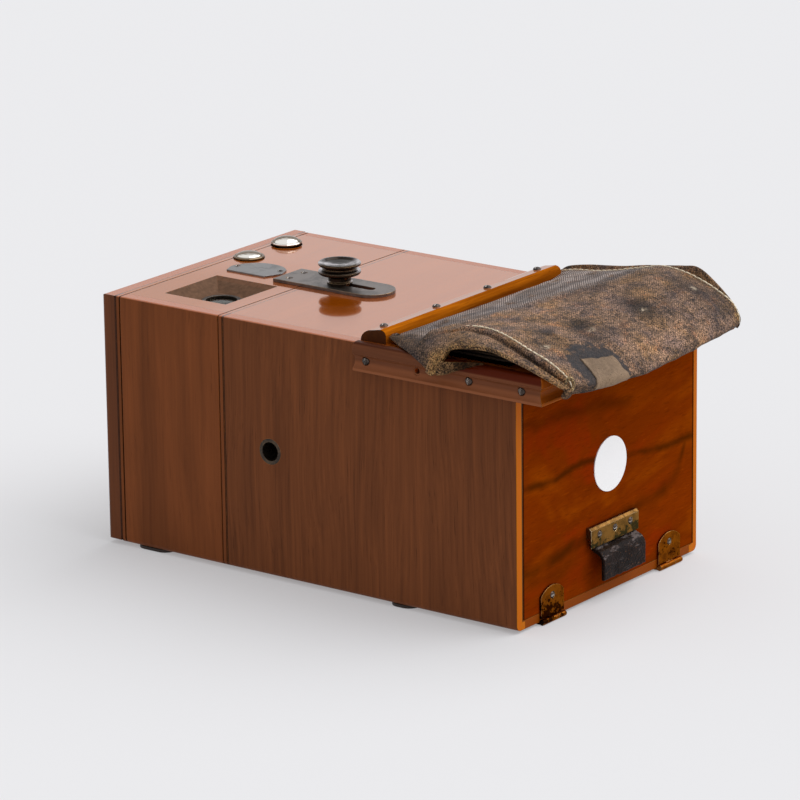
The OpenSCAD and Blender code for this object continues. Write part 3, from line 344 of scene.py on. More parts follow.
def end_grain(tree, place, grain, end, margin):
    """A board's end grain.

    With a margin, in metres from the middle, it has a dark joint inside and an orange core beyond.
    """
    colour = blend(tree, 0.35, end, grain, "MULTIPLY")
    if not margin:
        return colour
    parts = split(tree, place)
    sideways = calc(tree, "ABSOLUTE", parts["X"])
    core = times(tree, ramp(tree, sideways, margin + 0.0008, margin + 0.0014),
                 ramp(tree, sideways, 0.0755, 0.0749))
    joint = times(tree, ramp(tree, sideways, margin + 0.0005, margin - 0.0003),
                  ramp(tree, parts["Z"], 0.0050, 0.0060))
    return painted(tree, colour, (core, 0.45, (0.60, 0.12, 0.0002)), (joint, 1.0, (0.010, 0.003, 0.001)))


def stain_mask(tree, place, clear, full, grit, everywhere, nearby):
    """Specks that grow denser from the clear height down to the full one, with more on the near side."""
    parts = split(tree, place)
    near = ramp(tree, parts["X"], 0.0, 0.05)
    low = times(tree, ramp(tree, parts["Z"], clear, full),
                plus(tree, times(tree, near, nearby), everywhere))
    fine = times(tree, clouds(tree, place, grit, 4.0, 0.75), 0.6)
    broad = times(tree, clouds(tree, place, 130.0, 2.0), 0.4)
    return ramp(tree, plus(tree, low, plus(tree, fine, broad)), 0.605, 0.650)


def vein(tree, x, z, sway, points, half):
    """A soft dark line over the door through points (x, z) in mm, from high x to low x."""
    slopes = [(q[1] - p[1]) / (q[0] - p[0]) for p, q in zip(points, points[1:])]
    start = times(tree, minus(tree, x, points[0][0] * MM), slopes[0])
    height = plus(tree, start, points[0][1] * MM)
    for (corner, _), before, after in zip(points[1:], slopes, slopes[1:]):
        past = calc(tree, "MINIMUM", minus(tree, x, corner * MM), 0.0)
        height = plus(tree, height, times(tree, past, after - before))
    off = calc(tree, "ABSOLUTE", minus(tree, plus(tree, z, sway), height))
    inside = ramp(tree, minus(tree, x, points[-1][0] * MM), -0.004, 0.004)
    return times(tree, ramp(tree, off, half * MM, 0.0), inside)


# Finishes

def wood_material(name, light, dark, along, *, figure=0.5, streaks=0.5, pores=0.4, shine=0.3,
                  gloss=0.12, specular=0.15, edge=None, edge_share=0.6, radius=0.0007,
                  top_shine=0.0, top_tint=None, top_from=0.55, top_to=0.85, top_lean=0.0,
                  coat_ior=1.5, end=None, end_axis="Y", end_margin=0.0, lines=(), tint=WHITE,
                  painted_light_band=None):
    """Polished wood with its grain along X, Y or Z.

    Upward faces can carry another tint and polish; a lean counts faces to the front as upward too.
    The band's two colours are for the bag's mouldings: painted shade high at the rear, under the bag,
    and a painted lighter strip along the foot.
    """
    material, tree, place = new_material(name)
    grain = wood_grain(tree, stretched(tree, place, turn=GRAIN_TURN[along]), light, dark,
                       figure, streaks, pores)
    edge_wear_and_light = worn_and_highlit_edges(tree, place, radius)
    colour = grain["Color"]
    coat = shine
    if top_tint:
        up = minus(tree, facing_part(tree, "Z"), times(tree, facing_part(tree, "Y"), top_lean))
        facing_up = ramp(tree, up, top_from, top_to)
        colour = blend(tree, facing_up, colour, blend(tree, 0.25, top_tint, colour))
        coat = plus(tree, times(tree, facing_up, top_shine - shine), shine)
    # Painted light on the bag's mouldings: shade high at the rear under the bag, and a lighter strip
    # along the foot.
    if painted_light_band:
        spot = split(tree, place)
        under_bag_shade = times(tree, ramp(tree, spot["Z"], 0.1252, 0.1264), ramp(tree, spot["Y"], 0.082, 0.094))
        low = ramp(tree, spot["Z"], 0.1215, 0.1190)
        colour = painted(tree, colour, (under_bag_shade, 1.0, painted_light_band[0]), (low, 1.0, painted_light_band[1]))
    if end:
        facing = ramp(tree, facing_part(tree, end_axis), 0.6, 0.9)
        ended = end_grain(tree, place, grain["Color"], end, end_margin)
        colour = painted(tree, colour, (facing, 0.9, ended))
    colour = dark_lines(tree, place, colour, lines)
    # The edge colour is partly rubbed wear and partly a painted highlight along the edges.
    worn = edge or [min(1.0, c * 1.6) for c in light]
    colour = painted(tree, colour, (edge_wear_and_light["Mask"], edge_share, worn))
    haze = clouds(tree, place, 38.0, 3.0)
    close(tree, {"Base Color": colour, "Roughness": plus(tree, times(tree, haze, 0.14), gloss),
          "Coat Weight": coat, "Normal": bumped(tree, grain["Height"], 0.10, 0.0002, edge_wear_and_light["Normal"])},
          Specular_IOR_Level=specular, Coat_Roughness=0.06, IOR=1.5, Coat_IOR=coat_ior,
          Specular_Tint=tint)
    return material


def top_material(name, light, dark, lines=()):
    """The glossy top: a thick polish that mirrors the studio; round the finder the coat is thinner and a
    darker reflection is painted into its colour.
    """
    material, tree, place = new_material(name)
    grain = wood_grain(tree, stretched(tree, place, turn=(0.0, math.pi / 2, 0.12)), light, dark,
                       figure=0.45, streaks=0.35, pores=0.25)
    edge_wear_and_light = worn_and_highlit_edges(tree, place, radius=0.0007, break_up=0.35)
    parts = split(tree, place)
    # Round the finder the colour is painted darker, as a darker reflection, and the coat is thinner.
    dull = times(tree, ramp(tree, parts["Y"], -0.044, -0.078), ramp(tree, parts["X"], -0.035, 0.035))
    flat = times(tree, ramp(tree, facing_part(tree, "Z"), 0.86, 0.98),
                 calc(tree, "GREATER_THAN", parts["Z"], 0.127))
    bare = blend(tree, clouds(tree, place, 420.0, 4.0), (0.055, 0.030, 0.018), (0.20, 0.105, 0.062))
    colour = painted(tree, grain["Color"], (dull, 0.30, (0.26, 0.085, 0.020)),
                     (minus(tree, 1.0, flat), 1.0, bare))
    colour = dark_lines(tree, place, colour, lines)
    colour = painted(tree, colour, (edge_wear_and_light["Mask"], 0.45, (0.36, 0.12, 0.03)))
    smear = clouds(tree, stretched(tree, place, (9.0, 30.0, 9.0)), 1.0, 4.0)
    rough = plus(tree, times(tree, smear, 0.16), minus(tree, 0.55, times(tree, flat, 0.45)))
    close(tree, {"Base Color": colour, "Roughness": rough, "Metallic": times(tree, flat, 0.45),
          "Coat Weight": times(tree, flat, minus(tree, 1.0, times(tree, dull, 0.32))),
          "Normal": bumped(tree, grain["Height"], 0.05, 0.0002, edge_wear_and_light["Normal"])},
          Coat_Roughness=0.05, Coat_IOR=1.68, IOR=1.5, Specular_IOR_Level=0.10,
          Specular_Tint=(1.0, 0.75, 0.5))
    return material


def door_material(name, light, dark):
    """Red-orange door wood: mottled, with a few dark veins and dark edges beside the joints."""
    material, tree, place = new_material(name)
    turned = stretched(tree, place, turn=(0.0, 1.36, 0.0))
    grain = wood_grain(tree, turned, light, dark, figure=0.22, streaks=0.16, pores=0.22)
    edge_wear_and_light = worn_and_highlit_edges(tree, place, radius=0.0006)
    parts = split(tree, place)
    sway = times(tree, minus(tree, clouds(tree, place, 26.0, 3.0), 0.5), 0.012)
    veins = 0.0
    for points, half, strength in DOOR_VEINS:
        line = vein(tree, parts["X"], parts["Z"], sway, points, half)
        veins = calc(tree, "MAXIMUM", times(tree, line, strength), veins)
    faded = plus(tree, times(tree, ramp(tree, clouds(tree, place, 34.0, 3.0), 0.34, 0.60), 0.55), 0.40)
    hue = clouds(tree, stretched(tree, turned, (30.0, 30.0, 14.0)), 1.0, 3.0, 0.6, 0.5)
    level = stretched(tree, place, turn=(0.0, math.pi / 2, 0.0))
    fleck = clouds(tree, stretched(tree, level, (1300.0, 1300.0, 150.0)), 1.0, 3.0, 0.7)
    figure = clouds(tree, stretched(tree, turned, (90.0, 90.0, 30.0)), 1.0, 4.0, 0.6, 0.8)
    low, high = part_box("rear_door")
    inset = calc(tree, "MINIMUM", minus(tree, parts["X"], low.x), minus(tree, high.x, parts["X"]))
    colour = painted(
        tree, grain["Color"],
        (ramp(tree, hue, 0.50, 0.68), 0.50, (0.34, 0.066, 0.001)),
        (ramp(tree, hue, 0.48, 0.34), 0.70, (0.245, 0.022, 0.0012)),
        (ramp(tree, fleck, 0.46, 0.30), 0.45, (0.10, 0.014, 0.0008)),
        (ramp(tree, fleck, 0.58, 0.74), 0.25, (0.46, 0.085, 0.002)),
        (ramp(tree, figure, 0.42, 0.72), 0.30, (0.10, 0.014, 0.0008)),
        (times(tree, veins, faded), 0.85, (0.055, 0.012, 0.0006)),
        (ramp(tree, inset, 0.0011, 0.0004), 0.85, GAP_DARK),
        (edge_wear_and_light["Mask"], 0.35, (0.42, 0.13, 0.02)))
    close(tree, {"Base Color": colour, "Roughness": 0.3,
          "Normal": bumped(tree, grain["Height"], 0.05, 0.0002, edge_wear_and_light["Normal"])},
          Specular_IOR_Level=0.0)
    return material


def metal_material(name, metal, tarnish, *, amount=0.5, scale=1.0, clean=0.25, dull=0.5,
                   edge=None, edge_share=0.7, radius=0.0003, metallic=1.0, bump=0.25, cover=0.35,
                   tint=WHITE, stain=None, stain_tone=None):
    """Metal with patina in blotches and bare edges, whose edge colour is partly a painted highlight; the
    stain holds the values for stain_mask.
    """
    material, tree, place = new_material(name)
    patina = use_group(tree, "Patina", {"Vector": place, "Metal": metal, "Tarnish": tarnish,
                       "Amount": amount, "Scale": scale})
    edge_wear_and_light = worn_and_highlit_edges(tree, place, radius, break_up=0.6)
    bare = times(tree, edge_wear_and_light["Mask"], edge_share)
    colour = blend(tree, bare, patina["Color"], edge or metal)
    if stain:
        colour = blend(tree, stain_mask(tree, place, **stain), colour, stain_tone)
    covered = times(tree, patina["Tarnished"], minus(tree, 1.0, bare))
    rough = plus(tree, times(tree, covered, dull - clean), clean)
    close(tree, {"Base Color": colour, "Roughness": rough,
          "Metallic": minus(tree, metallic, times(tree, covered, cover * metallic)),
          "Normal": bumped(tree, patina["Height"], bump, 0.0001, edge_wear_and_light["Normal"])}, Specular_Tint=tint)
    return material


def knob_material(name):
    """Lathe-turned dark bronze: painted highlight wedges in the dish, and bare rims that are partly
    painted highlights.
    """
    material, tree, place = new_material(name)
    low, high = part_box("clamp_knob")
    parts = split(tree, place)
    x = minus(tree, parts["X"], (low.x + high.x) / 2)
    y = minus(tree, parts["Y"], (low.y + high.y) / 2)
    across = calc(tree, "ABSOLUTE", plus(tree, times(tree, x, 0.80), times(tree, y, 0.60)))
    radius = put(tree, "VectorMath", {0: put(tree, "CombineXYZ", {"X": x, "Y": y}).outputs[0]},
                 operation="LENGTH").outputs["Value"]
    # The wedges are painted highlights, bright across the dish in one fixed direction.
    wedge = ramp(tree, calc(tree, "DIVIDE", across, plus(tree, radius, 0.001)), 0.62, 0.10)
    lit = times(tree, wedge, ramp(tree, facing_part(tree, "Z"), 0.45, 0.80))
    smear = clouds(tree, place, 240.0, 4.0, 0.6, 0.4)
    edge_wear_and_light = worn_and_highlit_edges(tree, place, radius=0.0008, break_up=0.25)
    colour = painted(tree, (0.019, 0.013, 0.009),
                     (times(tree, lit, ramp(tree, smear, 0.25, 0.62)), 1.0, (0.62, 0.58, 0.60)),
                     (edge_wear_and_light["Mask"], 0.9, (0.42, 0.26, 0.13)))
    close(tree, {"Base Color": colour, "Roughness": plus(tree, times(tree, smear, 0.2), 0.08),
          "Metallic": 0.9, "Normal": edge_wear_and_light["Normal"]})
    return material


def button_material(name):
    """Nickel domes: bright crown, with a painted dark reflection round the rim and on the skirt."""
    material, tree, place = new_material(name)
    facing = put(tree, "LayerWeight", {"Blend": 0.5}).outputs["Facing"]
    worn = clouds(tree, place, 420.0, 3.0)
    # The ring is a painted dark reflection where the dome turns away from the view, broken up by noise.
    ring = times(tree, ramp(tree, plus(tree, facing, times(tree, worn, 0.16)), 0.50, 0.72),
                 ramp(tree, facing, 0.97, 0.88))
    # The skirt low on the dome is painted dark, as a dark reflection.
    dark_reflection_skirt = ramp(tree, split(tree, place)["Z"], 0.1302, 0.1294)
    colour = blend(tree, calc(tree, "MAXIMUM", ring, dark_reflection_skirt), (0.93, 0.90, 0.83), (0.150, 0.100, 0.050))
    close(tree, {"Base Color": colour, "Roughness": plus(tree, times(tree, worn, 0.12), 0.02),
          "Metallic": 1.0})
    return material


def glass_material(name, tint, rough=0.02, ior=1.5):
    """Lens or plate glass."""
    material, tree, place = new_material(name)
    dust = ramp(tree, clouds(tree, place, 900.0, 3.0), 0.55, 0.8)
    close(tree, {"Base Color": tint, "Roughness": plus(tree, rough, times(tree, dust, 0.08))},
          Transmission_Weight=1.0, IOR=ior)
    return material


def paper_material(name, colour):
    """Blank white disc with faint fibres."""
    material, tree, place = new_material(name)
    fibre = clouds(tree, stretched(tree, place, (900.0, 900.0, 300.0)), 1.0, 4.0)
    tone = painted(tree, colour, (fibre, 0.08, (0.72, 0.70, 0.66)))
    close(tree, {"Base Color": tone, "Roughness": 0.65, "Normal": bumped(tree, fibre, 0.15, 0.0001)},
          Specular_IOR_Level=0.2)
    return material


def bag_material(name, look):
    """The bag's leather: grey ribbed front, mottled brown back, rubbed spots and golden edges.

    Its marks are masks on the sheet's points, see cover_masks.
    """
    material, tree, place = new_material(name)
    mask = {label: put(tree, "Attribute", attribute_name=label).outputs["Fac"]
            for label in ("grey", "spot", "ring", "worn", "pale", "hem", "bead", "groove_shade", "light")}
    leather = worn_leather(tree, place, look.brown, look.dark, look.fibre, pits=0.6, fibres=0.10)
    gold = worn_leather(tree, place, look.fibre, (0.05, 0.022, 0.009), (0.62, 0.40, 0.15),
                        pits=0.75, fibres=0.22)
    hem = worn_leather(tree, place, (0.16, 0.085, 0.045), (0.012, 0.009, 0.008), look.fibre,
                       pits=1.0, fibres=0.1)
    uv = put(tree, "UVMap", uv_map="cover").outputs[0]
    slant = stretched(tree, uv, turn=(0.0, 0.0, 0.931))
    rib = bands(tree, slant, 300.0, "X", 1.4, **{"Detail Scale": 1.2})
    net = bands(tree, slant, 300.0, "Y", 1.8)
    weave = times(tree, rib, plus(tree, times(tree, net, 0.7), 0.3))
    sheen = clouds(tree, stretched(tree, place, (34.0, 130.0, 34.0), (0.0, 0.0, 0.2)), 1.0, 3.0)
    pale_rib = blend(tree, ramp(tree, sheen, 0.34, 0.64), (0.17, 0.135, 0.125), (0.56, 0.46, 0.42))
    grey_tone = blend(tree, rib, (0.024, 0.020, 0.021), pale_rib)
    grey_share = times(tree, mask["grey"], ramp(tree, clouds(tree, place, 150.0, 4.0), 0.25, 0.50))
    hue = clouds(tree, place, 62.0, 3.0, 0.6)
    warm = clouds(tree, stretched(tree, place, turn=(0.5, 0.2, 0.9)), 120.0, 3.0)
    cells = put(tree, "TexVoronoi", {"Vector": place, "Scale": 520.0}).outputs["Distance"]
    hole = times(tree, ramp(tree, cells, 0.34, 0.20), ramp(tree, warm, 0.50, 0.42))
    ragged = ramp(tree, clouds(tree, place, 300.0, 4.0), 0.2, 0.5)
    grit = clouds(tree, place, 700.0, 3.0)
    tear = times(tree, minus(tree, clouds(tree, place, 260.0, 5.0), 0.5), 1.3)
    torn = ramp(tree, plus(tree, mask["ring"], tear), 0.46, 0.72)
    torn_tone = blend(tree, grit, (0.003, 0.004, 0.006), (0.050, 0.050, 0.056))
    beads = ramp(tree, bands(tree, uv, 190.0, "Y", 2.0), 0.60, 0.30)
    colour = painted(
        tree, leather["Color"],
        (minus(tree, 1.0, weave), 0.55, (0.018, 0.014, 0.013)),
        (ramp(tree, hue, 0.50, 0.62), 0.8, (1.06, 0.98, 0.74), "MULTIPLY"),
        (ramp(tree, hue, 0.47, 0.37), 0.8, (0.80, 0.86, 1.06), "MULTIPLY"),
        (ramp(tree, warm, 0.56, 0.68), 0.8, (1.28, 1.05, 0.88), "MULTIPLY"),
        (hole, 0.8, (0.014, 0.009, 0.007)),
        (grey_share, 0.80, grey_tone),
        # Spot marks are partly stains and partly painted shade; the nearly black layer after the lighter
        # one is painted shade in the groove beside the near seam.
        (times(tree, mask["spot"], ragged), 1.0, (0.22, 0.24, 0.29), "MULTIPLY"),
        (mask["light"], 1.0, (1.34, 1.32, 1.30), "MULTIPLY"),
        (mask["groove_shade"], 1.0, (0.007, 0.005, 0.004)),
        (torn, 0.88, torn_tone),
        (mask["worn"], 1.0, gold["Color"]),
        (mask["hem"], 1.0, hem["Color"]),
        (times(tree, mask["bead"], beads), 0.9, (0.008, 0.005, 0.004)),
        (times(tree, mask["pale"], ramp(tree, grit, 0.42, 0.55)), 1.0, (0.46, 0.37, 0.27)))
    depth = plus(tree, times(tree, mask["grey"], 0.9), 0.35)
    height = plus(tree, leather["Height"], times(tree, weave, depth))
    close(tree, {"Base Color": colour, "Roughness": minus(tree, 0.68, times(tree, grey_share, 0.16)),
          "Normal": bumped(tree, height, 0.55, 0.0004)}, Specular_IOR_Level=0.16)
    return material


def crack_mask(tree, place):
    """A broken net of thin cracks."""
    drift = put(tree, "TexNoise", {"Vector": place, "Scale": 260.0}).outputs["Color"]
    push = put(tree, "VectorMath", {0: drift, "Scale": 0.006}, operation="SCALE").outputs[0]
    bent = put(tree, "VectorMath", {0: place, 1: push}, operation="ADD").outputs[0]
    net = put(tree, "TexVoronoi", {"Vector": bent, "Scale": 210.0}, feature="DISTANCE_TO_EDGE")
    return times(tree, ramp(tree, net.outputs["Distance"], 0.045, 0.0),
                 ramp(tree, clouds(tree, place, 110.0, 3.0), 0.52, 0.62))


def highlight_streak_mask(tree, place):
    """Painted highlights as slanting streaks, most where the leather bends and faces up."""
    streak_noise = clouds(tree, stretched(tree, place, (95.0, 95.0, 420.0), (0.3, 0.9, 0.0)), 1.0, 4.0, 0.7)
    bend = ramp(tree, facing_part(tree, "Z"), 0.10, 0.55)
    where = calc(tree, "MAXIMUM", bend, ramp(tree, clouds(tree, place, 90.0, 2.0), 0.44, 0.62))
    streak = ramp(tree, plus(tree, streak_noise, times(tree, bend, 0.06)), 0.57, 0.68)
    return times(tree, streak, where)


def plain_leather(name, brown, dark, fibre, *, pits=0.5, fibres=0.05, rough=0.6, bump=0.5,
                  specular=0.3, edge=None, radius=0.0006, grain=1.0, cracks=0.0, highlight_streaks=0.0,
                  shade_span=None):
    """Leather without the cover's marks, with rubbed edges; it can take painted shade between two y."""
    material, tree, place = new_material(name)
    leather = worn_leather(tree, place, brown, dark, fibre, pits, fibres, grain)
    edge_wear_and_light = worn_and_highlit_edges(tree, place, radius, break_up=0.7)
    colour = leather["Color"]
    if cracks:
        colour = painted(tree, colour, (crack_mask(tree, place), cracks, fibre))
    colour = painted(tree, colour, (edge_wear_and_light["Mask"], 0.7, edge or fibre))
    # Painted highlight streaks, pale where the leather bends and faces up.
    if highlight_streaks:
        colour = painted(tree, colour, (highlight_streak_mask(tree, place), highlight_streaks, (0.27, 0.22, 0.21)))
    # Painted shade, darker between two y, where the leather runs in under something above it.
    if shade_span:
        depth = ramp(tree, split(tree, place)["Y"], *shade_span)
        colour = painted(tree, colour, (depth, 1.0, (0.20, 0.16, 0.13), "MULTIPLY"))
    close(tree, {"Base Color": colour, "Roughness": rough,
          "Normal": bumped(tree, leather["Height"], bump, 0.0004, edge_wear_and_light["Normal"])},
          Specular_IOR_Level=specular)
    return material


def thread_material(name, light, dark):
    """Waxed linen thread."""
    material, tree, place = new_material(name)
    twist = clouds(tree, place, 1400.0, 2.0)
    close(tree, {"Base Color": blend(tree, ramp(tree, twist, 0.35, 0.65), dark, light),
          "Roughness": 0.7, "Normal": bumped(tree, twist, 0.4, 0.0002)}, Specular_IOR_Level=0.25)
    return material


def finish(nodes, material):
    """Gives CAD nodes a material."""
    for name in nodes:
        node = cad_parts[name]
        node.data.materials.clear()
        node.data.materials.append(material)


# Mesh helpers

def arc_lengths(points):
    """Length along each column of a grid of places, from its first row."""
    step = np.linalg.norm(np.diff(points, axis=0), axis=2)
    return np.concatenate([np.zeros((1, points.shape[1])), np.cumsum(step, axis=0)])


def clear_selection():
    """Deselects everything and leaves edit mode."""
    if bpy.context.object and bpy.context.object.mode != "OBJECT":
        bpy.ops.object.mode_set(mode="OBJECT")
    bpy.ops.object.select_all(action="DESELECT")


def settle(obj, name, material):
    """Names a piece, puts its place in its mesh and gives its material."""
    obj.name = name
    obj.data.name = name
    obj.data.transform(obj.matrix_world)
    obj.matrix_world = Matrix.Identity(4)
    obj.data.materials.clear()
    obj.data.materials.append(material)
    return obj


def smooth_line(points, t):
    """Catmull-Rom through rows of points; t runs from 0 to len - 1."""
    p = np.asarray(points, float)
    n = len(p)
    t = np.clip(np.asarray(t, float), 0, n - 1 - 1e-9)
    i = t.astype(int)
    f = (t - i).reshape(-1, *([1] * (p.ndim - 1)))
    a = p[np.clip(i - 1, 0, n - 1)]
    b = p[i]
    c = p[np.clip(i + 1, 0, n - 1)]
    d = p[np.clip(i + 2, 0, n - 1)]
    return 0.5 * (2 * b + (c - a) * f + (2 * a - 5 * b + 4 * c - d) * f * f
                  + (3 * b - a - 3 * c + d) * f * f * f)


def grid_of(points, name, material, uv=None, masks=None):
    """A sheet from a primitive grid whose vertices go to the given rows and columns, in mm."""
    rows, columns = points.shape[:2]
    clear_selection()
    bpy.ops.mesh.primitive_grid_add(x_subdivisions=columns - 1, y_subdivisions=rows - 1, size=1.0,
                                    calc_uvs=True)
    obj = bpy.context.object
    mesh = obj.data
    flat = np.zeros(len(mesh.vertices) * 3)
    mesh.vertices.foreach_get("co", flat)
    co = flat.reshape(-1, 3)
    column = np.rint((co[:, 0] + 0.5) * (columns - 1)).astype(int)
    row = np.rint((co[:, 1] + 0.5) * (rows - 1)).astype(int)
    mesh.vertices.foreach_set("co", (points[row, column] * MM).ravel())
    for label, values in (masks or {}).items():
        mask = mesh.attributes.new(label, "FLOAT", "POINT")
        mask.data.foreach_set("value", values[row, column].astype(np.float32))
    if uv is not None:
        layer = mesh.uv_layers[0]
        layer.name = "cover"
        corner = np.zeros(len(mesh.loops), int)
        mesh.loops.foreach_get("vertex_index", corner)
        layer.data.foreach_set("uv", (uv[row, column] * MM)[corner].ravel())
    mesh.update()
    return settle(obj, name, material)


def thicken(obj, thickness, offset=-1.0):
    """Gives a sheet its thickness in mm: beneath it, or half on each side for an offset of 0."""
    clear_selection()
    bpy.context.view_layer.objects.active = obj
    obj.select_set(True)
    wall = obj.modifiers.new("thickness", "SOLIDIFY")
    wall.thickness = thickness * MM
    wall.offset = offset
    bpy.ops.object.modifier_apply(modifier=wall.name)
    bpy.ops.object.shade_smooth()
    return obj


def tube_along(points, radius, name, material):
    """A closed tube through points in mm."""
    clear_selection()
    pts = np.asarray(points, float)
    curve = bpy.data.curves.new(name, "CURVE")
    curve.dimensions = "3D"
    spline = curve.splines.new("POLY")
    spline.points.add(len(pts) - 1)
    for point, place in zip(spline.points, pts):
        point.co = (*(place * MM), 1.0)
    curve.bevel_depth = radius * MM
    curve.bevel_resolution = 2
    curve.use_fill_caps = True
    obj = bpy.data.objects.new(name, curve)
    bpy.context.scene.collection.objects.link(obj)
    bpy.context.view_layer.objects.active = obj
    obj.select_set(True)
    bpy.ops.object.convert(target="MESH")
    obj = bpy.context.object
    bpy.ops.object.shade_smooth()
    return settle(obj, name, material)


def stitches(line, name, material, length):
    """A row of short thread stitches along a line of places in mm."""
    run = arc_lengths(line[:, None])[:, 0]
    count = int(run[-1] / length)
    mesh = bmesh.new()
    for k in range(count):
        a = np.array([np.interp((k + 0.04) * length, run, line[:, i]) for i in range(3)])
        b = np.array([np.interp((k + 0.98) * length, run, line[:, i]) for i in range(3)])
        middle = Vector((a + b) / 2) + Vector((0.05, 0.05, 0.50))
        along = Vector(b - a)
        turn = along.to_track_quat("X", "Z").to_matrix().to_4x4()
        jitter = 1 + 0.25 * noise.noise(Vector((k * 1.7, 0.3, 0.9)))
        shape = Matrix.Diagonal((along.length * 0.54, 0.42 * jitter, 0.36, 1.0))
        bmesh.ops.create_uvsphere(mesh, u_segments=8, v_segments=6, radius=1.0,
                                  matrix=Matrix.Scale(MM, 4) @ Matrix.Translation(middle) @ turn @ shape)
    data = bpy.data.meshes.new(name)
    mesh.to_mesh(data)
    mesh.free()
    obj = bpy.data.objects.new(name, data)
    bpy.context.scene.collection.objects.link(obj)
    data.polygons.foreach_set("use_smooth", [True] * len(data.polygons))
    settle(obj, name, material)
    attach(obj, "rear_section")


# Bag: places of the cover in mm. Each column is a line from the front edge to the turned-in rear
# edge; the columns run from the far side to the near side.

FAR_FOOT = [(-80.5, 44, 130.6), (-81, 50, 130.5), (-81, 60, 130.4), (-81, 71, 130.4), (-81, 81, 130.4),
            (-81, 92, 130.4), (-81, 103, 130.4), (-81, 113, 130.4), (-81, 122, 130.4),
            (-80.8, 131, 130.3), (-80.5, 140.5, 128.4), (-80.5, 145.5, 123.2), (-79.5, 145.5, 120.6)]
FAR_WALL = [(-80, 42.6, 130.9), (-81.6, 48, 132.4), (-82, 59, 133.6), (-82.4, 71, 134.4),
            (-82.6, 81, 135), (-82.8, 92, 136), (-82.8, 103, 137), (-82.6, 114, 138),
            (-82.4, 122.5, 138), (-82, 131, 135.6), (-81.4, 141.5, 129.6), (-80.4, 146.2, 122.8),
            (-79.4, 146, 119.8)]
FAR_ROLL = [(-79, 42, 130.9), (-79, 47, 134), (-79, 59, 136.4), (-79, 71.5, 137.8), (-79, 81, 139),
            (-79, 92, 141), (-79, 103, 142.5), (-79, 115, 144.2), (-79, 123, 144.7),
            (-79, 131, 140.6), (-79, 142, 131.4), (-78.6, 147.6, 123.2), (-77.6, 146.8, 119.6)]
FAR_DIP = [(-77.6, 43, 130.8), (-77.4, 50, 132.6), (-77.4, 61.5, 134), (-77.4, 74, 135.9),
           (-77, 84, 138), (-76.6, 94.5, 140.3), (-76.8, 104.8, 141.6), (-77.3, 116.5, 141.4),
           (-77.4, 126.5, 138.9), (-77.4, 134.5, 135.2), (-77.4, 144, 129.4), (-77.2, 148.8, 122.6),
           (-76.5, 147.2, 118.9)]
FAR_SEAM = [(-76, 44, 131.2), (-76, 53, 133.2), (-76, 64, 134.2), (-76, 77, 136.4), (-75, 87, 139),
            (-74.5, 97, 141.4), (-75, 106, 143.1), (-76, 118, 141.6), (-76, 130, 138.1),
            (-76, 138, 134.6), (-76, 146, 129.8), (-75.5, 149.8, 122.8), (-75, 147.6, 118.8)]
FAR_60 = [(-60, 47.4, 130), (-60, 55, 133.2), (-60, 67, 137), (-60, 84, 140), (-60, 96, 142.5),
          (-60, 108, 143.3), (-60, 120, 143), (-60, 130, 140.5), (-60, 139, 136), (-60, 147, 130),
          (-60, 151.5, 124.7), (-60, 152, 121.0), (-60, 149.5, 118.8)]
FAR_30 = [(-30, 47.4, 130.3), (-30, 55.5, 133.4), (-30, 69, 137), (-30, 86, 139), (-30, 97, 141),
          (-30, 108, 141.5), (-30, 119, 141), (-30, 129, 139), (-30, 139, 135), (-30, 147.5, 129.5),
          (-30, 153.5, 123.4), (-30, 154, 119.8), (-30, 150.5, 117.8)]
MIDDLE = [(0, 47.4, 130.7), (0, 56, 133.4), (0, 69, 136.6), (0, 84, 138.5), (0, 95, 139.5),
          (0, 107, 139.8), (0, 118, 139), (0, 129, 137), (0, 139, 133.5), (0, 147.5, 128.5),
          (0, 154, 122), (0, 154.5, 118.5), (0, 151, 116.5)]
NEAR_30 = [(30, 47.4, 131.1), (30, 56, 133.9), (30, 67.5, 136.7), (30, 80, 138.5), (30, 90, 139.4),
           (30, 102, 139.6), (30, 115, 138.6), (30, 127, 136.4), (30, 138, 132.9), (30, 147, 128.2),
           (30, 153.5, 122.5), (30, 154.5, 119.5), (30, 151, 117)]
NEAR_50 = [(50, 47.4, 131.4), (50, 55.8, 134.2), (50, 66.5, 136.8), (50, 78.5, 139.2), (51, 88.5, 140.6),
           (51, 98.5, 141.1), (51, 109.5, 140.6), (52, 121.5, 138.5), (53, 133, 135), (53, 142.5, 130.6),
           (53, 151.5, 124.7), (53, 153.6, 120.9), (53, 150.8, 118)]
NEAR_SEAM = [(65.5, 47.4, 131.6), (66, 55.5, 134), (66.2, 66.5, 136.4), (65.5, 78, 139.2),
             (63.7, 87.9, 141.6), (62.4, 95.5, 142.3), (63.7, 105.9, 142), (67, 117.5, 140.5),
             (69.6, 129.2, 137.6), (69.6, 138.3, 134.5), (70, 148.3, 129.2), (70, 152, 124.6),
             (69.5, 150, 120.4)]
GROOVE = [(67, 47.4, 131.9), (68.6, 55.3, 133.6), (69.6, 65.3, 135.5), (69.2, 76.8, 138),
          (66.4, 88, 140.2), (65.4, 95.3, 140.2), (66.8, 105, 139.9), (70, 116.3, 138.3),
          (71.8, 127.6, 134.9), (72.1, 136.4, 131.5), (72.4, 147, 126.8), (72.2, 151.4, 123),
          (71.6, 149.6, 119.8)]
BULGE = [(68.4, 47.6, 132.3), (70.9, 55.2, 133.2), (73.2, 64.8, 134.2), (74.2, 75.3, 136.2),
         (71.6, 87, 139.8), (70, 94.8, 141.2), (71.2, 104.5, 141), (74, 115.8, 139.4),
         (75, 126.9, 136.2), (75, 135.9, 133), (74.8, 147.2, 128), (74, 151.8, 124.1),
         (73, 149.9, 120.7)]
